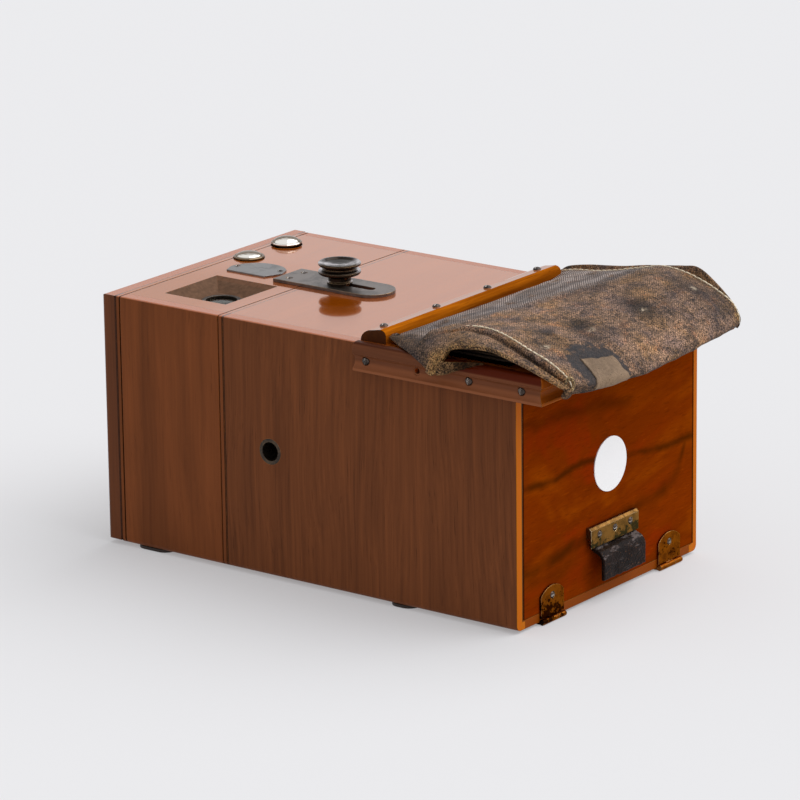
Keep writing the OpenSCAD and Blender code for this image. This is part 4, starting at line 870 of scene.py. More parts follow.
LOWER_BULGE = [(69.6, 47.8, 132.6), (73, 55.6, 132.4), (77.8, 65, 132.6), (80.2, 74, 132.2),
               (80.6, 84.2, 133.4), (77.4, 92.4, 139.9), (76.8, 103.5, 140.5), (78, 115, 139.3),
               (78.4, 126, 136.4), (78, 135.5, 133.2), (77, 147.3, 128.5), (75.2, 152.4, 124.7),
               (73.8, 150.4, 121.2)]
RAW_EDGE = [(70.8, 48.2, 132.4), (75, 56.5, 131), (81.2, 67.5, 130.5), (83.4, 76, 127.2),
            (83.6, 83.4, 124.2), (81.2, 90, 136.3), (80.5, 102.5, 139.1), (80.2, 114, 139.3),
            (80.2, 124.5, 137), (79.7, 135, 133.9), (78.8, 147, 129.2), (76.2, 152.9, 125),
            (74.4, 150.9, 121.4)]
# Steps by which the raw edge rolls over, beside the open hollow and along the front corner
ROLL_HOLLOW = [(0.8, 0.2, -0.9), (0.5, 0.3, -1.8), (-0.9, 0.2, -2.2), (-4.2, 0.0, -1.4)]
ROLL_FRONT = [(0.1, -0.4, -0.4), (-0.3, -0.3, -0.8), (-0.8, 0.5, -0.8), (-1.0, 1.4, -0.4)]
# Share of the hollow's roll in each row
OPEN = [0, 0, 0, 0.1, 0.4, 1, 1, 1, 1, 1, 0.9, 0.5, 0.2]

LAST_ROW = len(OPEN) - 1
FAR_SEAM_COLUMN = 4
SEAM_COLUMN = 10
GROOVE_COLUMN = 11
LAST_COLUMN = 18

# The layers inside the bag: how they fold to and fro, as (y, z) from the lowest layer up, and the
# y that they draw in to near the sides
LAYER_PATH = [(50, 130.6), (90, 130.7), (122, 130.7), (131.5, 130.9), (132.4, 131.5),
              (131.2, 132.1), (116, 132.3), (92, 132.6), (76, 132.2), (75, 132.8), (76, 133.5),
              (90, 134.4), (108, 134.4), (120, 133.6)]
LAYER_MIDDLE = 95

# Lower and upper edge of the small fold that stands up at the near side
FOLD_LOW = [(83.6, 85.0, 122.7), (83.4, 90.2, 124.0), (83.3, 94.1, 125.7), (83.0, 100.3, 128.1),
            (82.3, 107.5, 130.9), (81.8, 110.5, 131.5)]
FOLD_HIGH = [(83.4, 86.4, 129.6), (83.3, 89.5, 129.4), (83.2, 94.0, 129.9), (83.0, 99.5, 130.8),
             (82.4, 106.5, 131.5), (81.8, 110.5, 131.7)]

# Corners of the patch on the cover, as (column, row)
PATCH_CORNERS = [(8.78, 8.80), (7.97, 8.92), (7.86, 11.5), (9.03, 11.3)]

# Marks on the cover: strength, place and half sizes in mm, and for some a turn
# Three spots, near y 64 and y 96, are painted shade behind the front bar and along the crease; the
# others are stains.
SPOTS = ((1.0, -21, 129, 8, 11), (0.8, -60, 131, 8, 10), (1.1, 20, 121, 10, 6, 0.3),
         (0.9, 41, 117, 9, 5, 0.25), (0.8, 27, 134, 6, 6), (0.6, 26, 64, 26, 3.2, -0.30),
         (0.5, 52, 64, 9, 7), (0.45, -35, 96, 22, 5, -0.2), (0.55, 56, 125, 9, 5),
         (0.5, -68, 141, 8, 9))
FLAKES = ((1.0, -20, 131, 1.9, 1.5), (1.0, -61, 132.5, 1.9, 1.5), (1.0, 20, 128.5, 1.9, 1.5),
          (1.0, 57, 128.5, 3.0, 1.5))


def cover_columns():
    """All columns of the cover, far side first, as an array of column, row and place."""
    made = [np.array(column, float) for column in (
        FAR_FOOT, FAR_WALL, FAR_ROLL, FAR_DIP, FAR_SEAM, FAR_60, FAR_30, MIDDLE, NEAR_30, NEAR_50,
        NEAR_SEAM, GROOVE, BULGE, LOWER_BULGE, RAW_EDGE)]
    edge = made[-1]
    share = np.array(OPEN)[:, None]
    for hollow, front in zip(ROLL_HOLLOW, ROLL_FRONT):
        made.append(edge + share * np.array(hollow) + (1 - share) * np.array(front))
    return np.stack(made)


def cover_surface(u, v):
    """Places on the smooth cover for rows of u (column) and v (row)."""
    lines = np.stack([smooth_line(column, v) for column in cover_columns()])
    out = np.zeros((len(v), len(u), 3))
    for row in range(len(v)):
        out[row] = smooth_line(lines[:, row], u)
    return out


def crease_line(x):
    """Y of the crease between the smooth front and the mottled back."""
    return np.interp(x, [-80, -42, -27, -6, 11, 29, 44, 59, 70],
                     [104, 100, 93, 84, 81.5, 81, 79, 74, 70])


def slack(points, amount):
    """Creases and slack of worn leather, in mm outwards, for a grid of places."""
    x, y = points[..., 0], points[..., 1]
    out = np.zeros(x.shape)
    for index in np.ndindex(x.shape):
        a, b = x[index], y[index]
        broad = noise.noise(Vector((a * 0.035, b * 0.05, 3.1)))
        middle = noise.noise(Vector((a * 0.11, b * 0.13, 7.7)))
        small = noise.noise(Vector((a * 0.35, b * 0.35, 1.9)))
        ridge = 1.0 - abs(noise.noise(Vector((a * 0.05 + b * 0.02, b * 0.085, 5.3)))) * 3.2
        out[index] = 0.9 * broad + 0.42 * middle + 0.16 * small + 0.35 * max(0.0, ridge)
    from_crease = y - crease_line(x)
    out += 1.25 * np.exp(-(from_crease / 1.3) ** 2) - 1.05 * np.exp(-((from_crease + 4.2) / 2.6) ** 2)
    swell = (y - 61) - 0.12 * (x + 20)
    out += 0.7 * np.exp(-(swell / 2.6) ** 2) * np.exp(-((x + 25) / 32) ** 2)
    fold = (y - 62.5) - 0.16 * (45 - x)
    out += 0.8 * np.exp(-(fold / 1.8) ** 2) * np.exp(-((x - 44) / 14) ** 2)
    return out * amount


def outward(points):
    """Unit normals of a grid of places, up and out."""
    along = np.gradient(points, axis=0)
    across = np.gradient(points, axis=1)
    normal = np.cross(across, along)
    return normal / np.maximum(np.linalg.norm(normal, axis=2, keepdims=True), 1e-9)


def creased_cover(u, v, amount, lift=0.0):
    """Places on the cover with its creases, some mm above it; the seams and ends stay smooth."""
    points = cover_surface(u, v)
    side = np.minimum(rise(u, 3.5, 1.2), rise(u, 13.2, -3.0))[None, :]
    ends = np.minimum(rise(v, 0.0, 0.8), rise(v, 12.2, -1.2))[:, None]
    return points + outward(points) * (slack(points, amount) * side * ends + lift)[..., None]


def rise(values, start, width):
    """0 up to a start, then up to 1 over a width; a width below 0 goes the other way."""
    return np.clip((values - start) / width, 0, 1)


def span(values, first, soft_in, last, soft_out):
    """1 between two values, with soft ends."""
    return rise(values, first, soft_in) * rise(values, last, -soft_out)


def stripe(values, middle, half, power=2):
    """A soft stripe round a value."""
    return np.exp(-((values - middle) / half) ** power)


def blob(x, y, cx, cy, rx, ry, turn=0.0):
    """A soft round mask."""
    c, s = math.cos(turn), math.sin(turn)
    a = ((x - cx) * c + (y - cy) * s) / rx
    b = (-(x - cx) * s + (y - cy) * c) / ry
    return np.exp(-(a * a + b * b) ** 1.4)


def blobs(x, y, marks):
    """The sum of some round masks, each with its strength first."""
    return sum(strength * blob(x, y, *mark) for strength, *mark in marks)


def cover_masks(points, run, u, v):
    """The cover's marks from 0 to 1, over a grid of places and their lengths from the front edge.

    grey is the ribbed front, spot the dark stains with painted shade behind the front bar, along the
    crease, at the near front corner and in the groove by the near seam, and ring the torn ring; worn,
    hem and bead follow the edges, the nearly black line beside the near seam is painted shade in its
    groove, light makes two broad patches lighter and pale is lighter leather.
    """
    x, y = points[..., 0], points[..., 1]
    column, row = np.meshgrid(u, v)
    grey = span(column, 3.6, 0.5, 12.0, 2.0) / (1 + np.exp((y - crease_line(x)) / 1.3))
    # Painted shade at the near front corner, where the leather goes down inside, and in the groove
    # beside the near seam.
    corner_shade = rise(column, 10.3, 1.2) * rise(row, 3.9, -0.8)
    trench_shade = stripe(column, 10.95, 0.38) * span(row, 4.4, 0.8, 10.2, 1.5)
    spot = np.maximum(np.maximum(blobs(x, y, SPOTS), 0.72 * corner_shade), 1.25 * trench_shade)
    inner = stripe(x, 38.5, 11.5, 4) * stripe(run, 107, 11, 4)
    ring = 1.35 * stripe(x, 41.5, 17.0, 4) * stripe(run, 108, 15.5, 4) - 0.25 * inner
    ring = np.clip(ring, 0, 1) * rise(run, 88, 5)
    ring = np.maximum(ring, 0.8 * blob(x, run, 40, 92, 13, 4.5, -0.12))
    bead = stripe(column, 14.9, 0.60) * span(row, 4.7, 0.4, 9.2, 2.0)
    strip = stripe(column, 15.1, 1.40, 4) * span(row, 4.4, 0.4, 9.6, 2.0)
    # Painted shade along the groove beside the near seam.
    groove_shade = stripe(column, GROOVE_COLUMN, 0.16) * span(row, 4.6, 0.8, 10.4, 1.2)
    # This makes two broad patches of the cover lighter.
    light = 0.8 * blob(x, y, 22, 104, 42, 20) + 0.8 * blob(x, run, 5, 112, 55, 12)
    light = np.clip(light, 0, 1) * rise(column, 10, -0.5)
    rolled = rise(column, 13.45, 0.4) * rise(row, 3.9, 0.5) * (1 - 0.80 * rise(row, 4.9, 0.9))
    tip = rise(column, 12.6, 0.6) * blob(row, row, 4.05, 4.05, 0.85, 0.85)
    corner = np.maximum(blob(column, row, 2.6, 10.6, 1.5, 1.0), blob(column, row, 4.0, 10.6, 0.5, 1.1))
    near_lip = 0.25 * rise(column, 10.6, 2.5) * rise(row, 4.5, 2)
    worn = np.maximum(np.maximum(rolled, tip) + corner + near_lip, 0.8 * strip)
    seam = rise(np.abs(column - GROOVE_COLUMN), 0.45, -0.45) * rise(row, 3.8, 0.6)
    masks = {"grey": grey, "spot": spot, "ring": ring, "worn": worn, "pale": blobs(x, y, FLAKES),
             "hem": np.maximum(0.85 * rise(row, 10.6, 0.5), seam), "bead": bead, "groove_shade": 0.92 * groove_shade,
             "light": light}
    return {label: np.clip(mask, 0, 1) for label, mask in masks.items()}


def colour_setting(name, description, default):
    """A colour that the sidebar shows."""
    return FloatVectorProperty(name=name, description=description, size=3, subtype="COLOR", min=0.0,
                               max=1.0, default=default)


class StudioLook(bpy.types.PropertyGroup):
    """Floor, backdrop, lamp and camera."""
    floor: colour_setting("Floor colour", "Colour of the floor", (0.775, 0.775, 0.79))
    backdrop: colour_setting("Backdrop colour", "What the camera and mirrors see round the object",
                             (0.838, 0.838, 0.855))
    lift: FloatProperty(name="Floor glow", description="Share of the floor's light that shadows "
                        "don't take away", min=0.0, max=0.9, default=0.34)
    sky: FloatProperty(name="Sky strength", description="Strength of the soft light all round",
                       min=0.0, default=0.54)
    key: FloatProperty(name="Key strength", description="Strength of the broad lamp", min=0.0,
                       default=2.1)
    key_angle: FloatProperty(name="Key softness", description="Angle of the broad lamp",
                             subtype="ANGLE", default=math.radians(70))
    lens: FloatProperty(name="Lens", description="Focal length of the viewing camera",
                        subtype="DISTANCE_CAMERA", min=10.0, default=221.12)


class WoodLook(bpy.types.PropertyGroup):
    """Colours of the woods."""
    side: colour_setting("Side", "Sides of the rear section", (0.212, 0.066, 0.022))
    side_dark: colour_setting("Side streaks", "Streaks of the sides", (0.088, 0.028, 0.011))
    front: colour_setting("Front sides", "Sides of the front section", (0.236, 0.068, 0.020))
    front_dark: colour_setting("Front streaks", "Streaks of the front section", (0.114, 0.034, 0.011))
    top: colour_setting("Top", "Top boards", (0.50, 0.108, 0.0026))
    top_dark: colour_setting("Top streaks", "Streaks of the top", (0.37, 0.070, 0.0016))
    door: colour_setting("Door", "Loading door", (0.300, 0.042, 0.0008))
    door_dark: colour_setting("Door streaks", "Streaks of the door", (0.060, 0.009, 0.0004))
    moulding: colour_setting("Bag frame", "Mouldings of the bag frame", (0.190, 0.062, 0.026))


class BagLook(bpy.types.PropertyGroup):
    """Leather and sizes of the changing bag."""
    brown: colour_setting("Brown", "Main colour of the leather", (0.440, 0.262, 0.165))
    dark: colour_setting("Dark", "Dark mottling", (0.105, 0.068, 0.050))
    fibre: colour_setting("Fibres", "Bare fibres at worn edges", (0.36, 0.19, 0.07))
    thickness: FloatProperty(name="Thickness", description="Thickness of the leather",
                             subtype="DISTANCE", min=0.0004, max=0.003, default=0.0011)
    slack: FloatProperty(name="Slack", description="Share of the creases", min=0.0, max=2.0,
                         default=1.0)
    stitch: FloatProperty(name="Stitch length", description="Length of one stitch",
                          subtype="DISTANCE", min=0.001, max=0.005, default=0.0034)


class TabLook(bpy.types.PropertyGroup):
    """The leather pull of the door."""
    colour: colour_setting("Colour", "Colour of the pull", (0.0150, 0.0082, 0.0066))
    thickness: FloatProperty(name="Thickness", description="Thickness of the pull",
                             subtype="DISTANCE", min=0.001, max=0.003, default=0.0019)


class CAMBOX_OT_stage(bpy.types.Operator):
    """Makes the floor, the light and the viewing camera"""
    bl_idname = "cambox.stage"
    bl_label = "Studio and camera"

    def execute(self, context):
        look = context.scene.cambox_studio
        clear_selection()
        bpy.ops.mesh.primitive_circle_add(vertices=96, radius=9.0, fill_type="NGON")
        material, tree, place = new_material("studio_floor")
        tone = clouds(tree, place, 3.0, 2.0)
        shaded = [c * (1.0 - look.lift) for c in look.floor]
        shade = painted(tree, shaded, (tone, 0.02, [c * 0.95 for c in shaded]))
        close(tree, {"Base Color": shade, "Roughness": 0.9}, Specular_IOR_Level=0.0,
              Emission_Color=look.backdrop, Emission_Strength=look.lift)
        settle(bpy.context.object, "studio_floor", material)
        world = bpy.data.worlds.new("studio")
        world.use_nodes = True
        world.node_tree.nodes.clear()
        tree = world.node_tree
        path = put(tree, "LightPath")
        seen = calc(tree, "MAXIMUM", path.outputs["Is Camera Ray"], calc(
            tree, "MAXIMUM", path.outputs["Is Glossy Ray"], path.outputs["Is Transmission Ray"]))
        soft = put(tree, "Background", {"Color": (1.0, 1.0, 1.01), "Strength": look.sky})
        shown = put(tree, "Background", {"Color": look.backdrop, "Strength": 1.0})
        mix = put(tree, "MixShader", {0: seen, 1: soft.outputs[0], 2: shown.outputs[0]})
        tree.links.new(mix.outputs[0], put(tree, "OutputWorld").inputs["Surface"])
        context.scene.world = world
        lamp = bpy.data.lights.new("broad_lamp", "SUN")
        lamp.energy = look.key
        lamp.angle = look.key_angle
        sun = bpy.data.objects.new("broad_lamp", lamp)
        sun.rotation_euler = Vector(LAMP_AIM).to_track_quat("-Z", "Y").to_euler()
        context.scene.collection.objects.link(sun)
        camera = bpy.data.cameras.new("view_camera")
        camera.sensor_width = 36.0
        camera.lens = look.lens
        camera.clip_end = 100.0
        seat = bpy.data.objects.new("view_camera", camera)
        turn = Matrix((VIEW_RIGHT, VIEW_UP, VIEW_BACK)).transposed().to_4x4()
        seat.matrix_world = Matrix.Translation(VIEW_PLACE) @ turn
        context.scene.collection.objects.link(seat)
        context.scene.camera = seat
        context.scene.view_settings.view_transform = "Standard"
        return {"FINISHED"}


class CAMBOX_OT_woods(bpy.types.Operator):
    """Polishes the wooden parts"""
    bl_idname = "cambox.woods"
    bl_label = "Woods"

    def execute(self, context):
        look = context.scene.cambox_wood
        top = top_material("top_wood", look.top, look.top_dark, ((JOINT_GROOVE, 0.40), (JOINT, 0.35)))
        side = wood_material("side_wood", look.side, look.side_dark, "Z", figure=0.35, streaks=0.75,
                             pores=0.5, shine=0.0, gloss=0.30, specular=0.05, top_shine=0.75,
                             top_tint=look.top, coat_ior=2.0, edge=(0.52, 0.16, 0.012), edge_share=0.6,
                             end=(0.80, 0.225, 0.0002), end_margin=0.0718, lines=((JOINT, 0.65),))
        front = wood_material("front_side_wood", look.front, look.front_dark, "Z", figure=0.75,
                              streaks=0.45, pores=0.4, shine=0.0, gloss=0.30, specular=0.05,
                              top_shine=0.75, top_tint=look.top, coat_ior=2.0,
                              edge=(0.40, 0.11, 0.015), edge_share=0.5,
                              lines=((FLAP_GROOVE, 0.40), (FLAP_JOINT, 0.75),
                                     (JOINT_GROOVE, 0.40), (JOINT - 0.1, 0.5)))
        flap = wood_material("flap_wood", [c * 0.7 for c in look.front],
                             [c * 0.7 for c in look.front_dark], "Z", figure=0.4, streaks=0.5,
                             pores=0.4, shine=0.02, gloss=0.3, specular=0.08, top_shine=0.7,
                             top_tint=look.top, coat_ior=2.0, edge=(0.20, 0.055, 0.02),
                             edge_share=0.4, lines=((FLAP_JOINT, 0.45),))
        base = wood_material("base_wood", look.side, look.side_dark, "Y", figure=0.5, streaks=0.6,
                             gloss=0.45, specular=0.05, shine=0.0, end=(0.36, 0.078, 0.001),
                             edge=(0.50, 0.17, 0.015))
        door = door_material("door_wood", look.door, look.door_dark)
        lip = wood_material("lip_wood", (0.27, 0.055, 0.003), (0.15, 0.028, 0.002), "X", figure=0.4,
                            streaks=0.5, gloss=0.3, specular=0.02, shine=0.0,
                            edge=(0.62, 0.24, 0.03), tint=(1.0, 0.4, 0.05))
        # The bag frame's top faces get a dark tint as painted shade under the bag; its band is painted
        # shade high at the rear and a painted lighter strip along the foot.
        frame_wood = wood_material("frame_wood", look.moulding, [c * 0.5 for c in look.moulding], "Y",
                                   figure=0.3, streaks=0.8, pores=0.5, shine=0.05, gloss=0.26,
                                   specular=0.03, edge=(0.30, 0.12, 0.045), edge_share=0.6,
                                   top_shine=0.0, top_tint=(0.030, 0.004, 0.0005), radius=0.0005,
                                   end=(0.62, 0.095, 0.003),
                                   painted_light_band=((0.078, 0.009, 0.0010), (0.262, 0.088, 0.036)))
        bar = wood_material("front_bar_wood", (0.54, 0.150, 0.005), (0.19, 0.042, 0.002), "X",
                            figure=0.70, streaks=0.9, pores=0.5, shine=0.0, gloss=0.22, specular=0.0,
                            edge=(0.52, 0.150, 0.008), edge_share=0.0, top_shine=0.9, radius=0.0004,
                            top_tint=(0.42, 0.13, 0.03), coat_ior=2.0, top_from=0.955,
                            top_to=0.995, top_lean=0.6, end=(0.045, 0.022, 0.016), end_axis="X",
                            tint=(1.0, 0.55, 0.12))
        rear_bar = wood_material("rear_bar_wood", (0.36, 0.085, 0.006), (0.18, 0.036, 0.003),
                                 "X", figure=0.3, streaks=0.8, shine=0.0, gloss=0.26, specular=0.03,
                                 edge=(0.56, 0.19, 0.02), edge_share=0.7, tint=(1.0, 0.5, 0.1))
        inner = wood_material("inner_wood", (0.19, 0.11, 0.06), (0.11, 0.058, 0.03), "X",
                              figure=0.4, streaks=0.6, pores=0.5, gloss=0.5, specular=0.2)
        feet = wood_material("foot_wood", (0.030, 0.018, 0.013), (0.015, 0.009, 0.007), "Y",
                             gloss=0.5, specular=0.2, edge=(0.06, 0.035, 0.025))
        finish(["rear_top", "front_top"], top)
        finish(["rear_near_side", "rear_far_side"], side)
        finish(["rear_bottom"], base)
        finish(["front_near_side", "front_far_side"], front)
        finish(["front_bottom"], base)
        finish(["front_flap"], flap)
        finish(["rear_door"], door)
        finish(["door_transom"], lip)
        finish(["bag_frame_near_side", "bag_frame_far_side"], frame_wood)
        finish(["bag_frame_rear"], rear_bar)
        finish(["bag_frame_front"], bar)
        finish(["exposure_frame", "magazine_guides", "lens_panel", "finder_boards",
                "light_trap_sleeve", "pressure_board"], inner)
        finish(["rear_feet", "front_feet"], feet)
        return {"FINISHED"}


class CAMBOX_OT_metals(bpy.types.Operator):
    """Gives the metal parts their patina"""
    bl_idname = "cambox.metals"
    bl_label = "Metals"

    def execute(self, context):
        brass = metal_material("brass", (0.40, 0.27, 0.12), (0.10, 0.060, 0.025), amount=0.5,
                               clean=0.22, dull=0.45)
        aged = metal_material("aged_brass", (0.215, 0.068, 0.014), (0.115, 0.034, 0.007), amount=0.50,
                              scale=2.2, clean=0.32, dull=0.45, edge=(0.56, 0.34, 0.12),
                              edge_share=0.9, radius=0.0004, bump=0.3, cover=0.0,
                              tint=(1.0, 0.55, 0.15), stain_tone=(0.006, 0.003, 0.002),
                              stain={"clear": 0.0175, "full": 0.0105, "grit": 560.0,
                                     "everywhere": 0.05, "nearby": 0.10})
        plate_brass = metal_material("tab_plate_brass", (0.215, 0.110, 0.036), (0.115, 0.062, 0.024),
                                     amount=0.50, scale=1.2, clean=0.30, dull=0.45, cover=0.0,
                                     edge=(0.66, 0.52, 0.32), edge_share=0.95, radius=0.0006, bump=0.3,
                                     tint=(1.0, 0.7, 0.35),
                                     stain_tone=(0.020, 0.024, 0.018),
                                     stain={"clear": 0.0350, "full": 0.0290, "grit": 420.0,
                                            "everywhere": 0.13, "nearby": 0.0})
        black_ring = metal_material("finder_ring", (0.060, 0.046, 0.034), (0.018, 0.014, 0.011),
                                    amount=0.5, clean=0.25, dull=0.45, edge=(0.26, 0.18, 0.11),
                                    edge_share=0.6)
        bush = metal_material("bush_bronze", (0.085, 0.060, 0.040), (0.020, 0.014, 0.011), amount=0.5,
                              clean=0.25, dull=0.45, edge=(0.16, 0.11, 0.07), edge_share=0.5)
        knob = knob_material("knob_bronze")
        plate = metal_material("slide_bronze", (0.155, 0.125, 0.108), (0.080, 0.067, 0.060),
                               amount=0.5, scale=0.8, clean=0.28, dull=0.36,
                               edge=(0.50, 0.30, 0.13), edge_share=0.8, radius=0.0005, bump=0.1)
        # The screws' pale edges are painted highlights on their rims.
        screws = metal_material("screw_bronze", (0.085, 0.062, 0.052), (0.016, 0.012, 0.010),
                                amount=0.5, scale=2.0, clean=0.10, dull=0.30, edge=(0.80, 0.74, 0.68),
                                edge_share=0.75, radius=0.00035)
        zinc = metal_material("zinc", (0.235, 0.230, 0.228), (0.175, 0.170, 0.168), amount=0.5,
                              scale=0.9, clean=0.36, dull=0.5, edge=(0.50, 0.48, 0.45), edge_share=0.4,
                              bump=0.1)
        nickel = button_material("nickel")
        steel = metal_material("spring_steel", (0.42, 0.42, 0.43), (0.16, 0.15, 0.15), amount=0.35,
                               clean=0.2, dull=0.4)
        mirror = metal_material("silvered_glass", (0.86, 0.87, 0.88), (0.5, 0.48, 0.44), amount=0.12,
                                clean=0.02, dull=0.2, bump=0.02)
        black = metal_material("blackened_metal", (0.022, 0.022, 0.023), (0.010, 0.010, 0.010),
                               amount=0.5, clean=0.5, dull=0.65, metallic=0.5, edge=(0.08, 0.075, 0.07))
        japan = metal_material("sheath_metal", (0.020, 0.020, 0.020), (0.008, 0.008, 0.008),
                               amount=0.5, clean=0.45, dull=0.6, metallic=0.3, edge=(0.12, 0.11, 0.10))
        finish(["clamp_bush", "flap_hinge_bases", "flap_hinge_pins", "flap_catch_clip",
                "flap_brasswork", "lens_barrel", "pivot_posts", "button_tubes", "release_lever",
                "stop_wheel"], brass)
        finish(["tripod_bush"], bush)
        finish(["door_screws", "front_screws", "bag_frame_screws"], screws)
        finish(["door_hinge_bases", "door_hinge_leaves", "door_hinge_pins"], aged)
        finish(["tab_plate"], plate_brass)
        finish(["finder_bezel"], black_ring)
        finish(["focus_plate"], plate)
        finish(["clamp_knob"], knob)
        finish(["cover_plate"], zinc)
        finish(["catch_button", "release_button"], nickel)
        finish(["catch_spring", "release_spring", "pressure_springs"], steel)
        finish(["finder_mirror"], mirror)
        finish(["finder_case", "shutter_disc"], black)
        finish(["plate_sheaths"], japan)
        return {"FINISHED"}


class CAMBOX_OT_glass(bpy.types.Operator):
    """Gives the glasses and the blank disc their finish"""
    bl_idname = "cambox.glass"
    bl_label = "Glass and disc"

    def execute(self, context):
        lens = glass_material("lens_glass", (0.80, 0.88, 0.84))
        # The finder glass's dark tint is painted shade, for the dark inside the finder seen through it.
        finder = glass_material("finder_glass", (0.22, 0.23, 0.16), rough=0.10, ior=1.25)
        plate = glass_material("plate_glass", (0.55, 0.60, 0.60), rough=0.2)
        finish(["lens_glasses"], lens)
        finish(["finder_lenses"], finder)
        finish(["glass_plates"], plate)
        finish(["label_disc"], paper_material("paper", (0.98, 0.98, 0.99)))
        return {"FINISHED"}


class CAMBOX_OT_bag_cover(bpy.types.Operator):
    """Makes the bag's outer leather with its gussets and rolled edge"""
    bl_idname = "cambox.bag_cover"
    bl_label = "Bag cover"

    def execute(self, context):
        look = context.scene.cambox_bag
        u = np.concatenate([np.linspace(0, FAR_SEAM_COLUMN, 25)[:-1],
                            np.linspace(FAR_SEAM_COLUMN, SEAM_COLUMN, 131)[:-1],
                            np.linspace(SEAM_COLUMN, LAST_COLUMN, 57)])
        v = np.linspace(0, LAST_ROW, 145)
        points = creased_cover(u, v, look.slack)
        run = arc_lengths(points)
        uv = np.stack([points[..., 0], run], axis=2)
        cover = grid_of(points, "bag_cover", bag_material("bag_leather", look), uv,
                        cover_masks(points, run, u, v))
        thicken(cover, look.thickness / MM)
        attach(cover, "rear_section")
        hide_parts("changing_bag")
        return {"FINISHED"}


class CAMBOX_OT_bag_inside(bpy.types.Operator):
    """Makes the folded layers inside the bag and the turned-up corner"""
    bl_idname = "cambox.bag_inside"
    bl_label = "Bag inside"

    def execute(self, context):
        look = context.scene.cambox_bag
        dark = plain_leather("bag_lining", (0.035, 0.024, 0.018), (0.010, 0.007, 0.006),
                             (0.10, 0.055, 0.025), pits=0.5, rough=0.75)
        path = smooth_line(LAYER_PATH, np.linspace(0, len(LAYER_PATH) - 1, 150))
        xs = np.linspace(-73.5, 69.5, 74)
        points = np.zeros((len(path), len(xs), 3))
        for k, across in enumerate(xs):
            wave = np.array([0.35 * noise.noise(Vector((across * 0.08, y * 0.06, z * 0.7)))
                             for y, z in path])
            reach = 1.0 - 0.02 * (1 + math.sin(across * 0.33)) * (abs(across) > 66)
            points[:, k, 0] = across
            points[:, k, 1] = LAYER_MIDDLE + (path[:, 0] - LAYER_MIDDLE) * reach
            points[:, k, 2] = path[:, 1] + wave
        layers = grid_of(points, "bag_layers", dark)
        thicken(layers, 0.7, 0.0)
        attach(layers, "rear_section")
        t = np.linspace(0, len(FOLD_LOW) - 1, 90)
        lower, upper = smooth_line(FOLD_LOW, t), smooth_line(FOLD_HIGH, t)
        across = np.linspace(0, 1, 18)
        strip = lower[:, None] * (1 - across)[None, :, None] + upper[:, None] * across[None, :, None]
        height = np.linalg.norm(upper - lower, axis=1)[:, None]
        strip[..., 0] += 0.30 * height * np.sin(np.pi * across)[None, :]
        rough = np.array([[noise.noise(Vector(p) * 0.8) for p in row] for row in strip])
        strip[..., 0] += 0.35 * rough
        strip[..., 2] += 0.25 * rough
        # The corner fold is painted darker towards the rear, as shade where it runs in under the rolled
        # edge.
        fold_leather = plain_leather("bag_fold_leather", (0.27, 0.150, 0.070), (0.045, 0.026, 0.015),
                                     look.fibre, pits=0.9, fibres=0.10, shade_span=(0.089, 0.100),
                                     edge=(0.5, 0.3, 0.1), radius=0.0009, specular=0.04)
        fold = grid_of(strip[:, ::-1], "bag_corner_fold", fold_leather)
        thicken(fold, 1.0, 0.0)
        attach(fold, "rear_section")
        return {"FINISHED"}


class CAMBOX_OT_bag_seams(bpy.types.Operator):
    """Sews the two seams and ties the corner knot"""
    bl_idname = "cambox.bag_seams"
    bl_label = "Bag seams"

    def execute(self, context):
        look = context.scene.cambox_bag
        cream = thread_material("seam_thread", (0.95, 0.84, 0.66), (0.66, 0.52, 0.34))
        for name, column, first, last in (("near_seam", SEAM_COLUMN, 3.9, 11.2),
                                          ("far_seam", FAR_SEAM_COLUMN, 0.1, 11.3)):
            t = np.linspace(first, last, 400)
            line = smooth_line(cover_columns()[column], t)
            stitches(line, name, cream, look.stitch / MM)
            under = tube_along(line + np.array([0.0, 0.0, 0.12]), 0.24, name + "_cord", cream)
            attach(under, "rear_section")
        gold = plain_leather("knot_leather", (0.42, 0.27, 0.12), (0.07, 0.04, 0.02),
                             (0.70, 0.50, 0.24), pits=0.5, fibres=0.2, rough=0.6)
        clear_selection()
        bpy.ops.mesh.primitive_torus_add(major_radius=2.3 * MM, minor_radius=0.85 * MM,
                                         major_segments=40, minor_segments=14,
                                         location=(0.0722, 0.1525, 0.1262),
                                         rotation=(1.25, 0.1, 2.35))
        knot = bpy.context.object
        for vertex in knot.data.vertices:
            place = vertex.co / MM
            swell = 1 + 0.35 * noise.noise(Vector(place) * 0.9)
            vertex.co = Vector((place.x * 0.82, place.y * 1.25, place.z * swell)) * MM
        bpy.ops.object.shade_smooth()
        settle(knot, "corner_knot", gold)
        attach(knot, "rear_section")
        return {"FINISHED"}


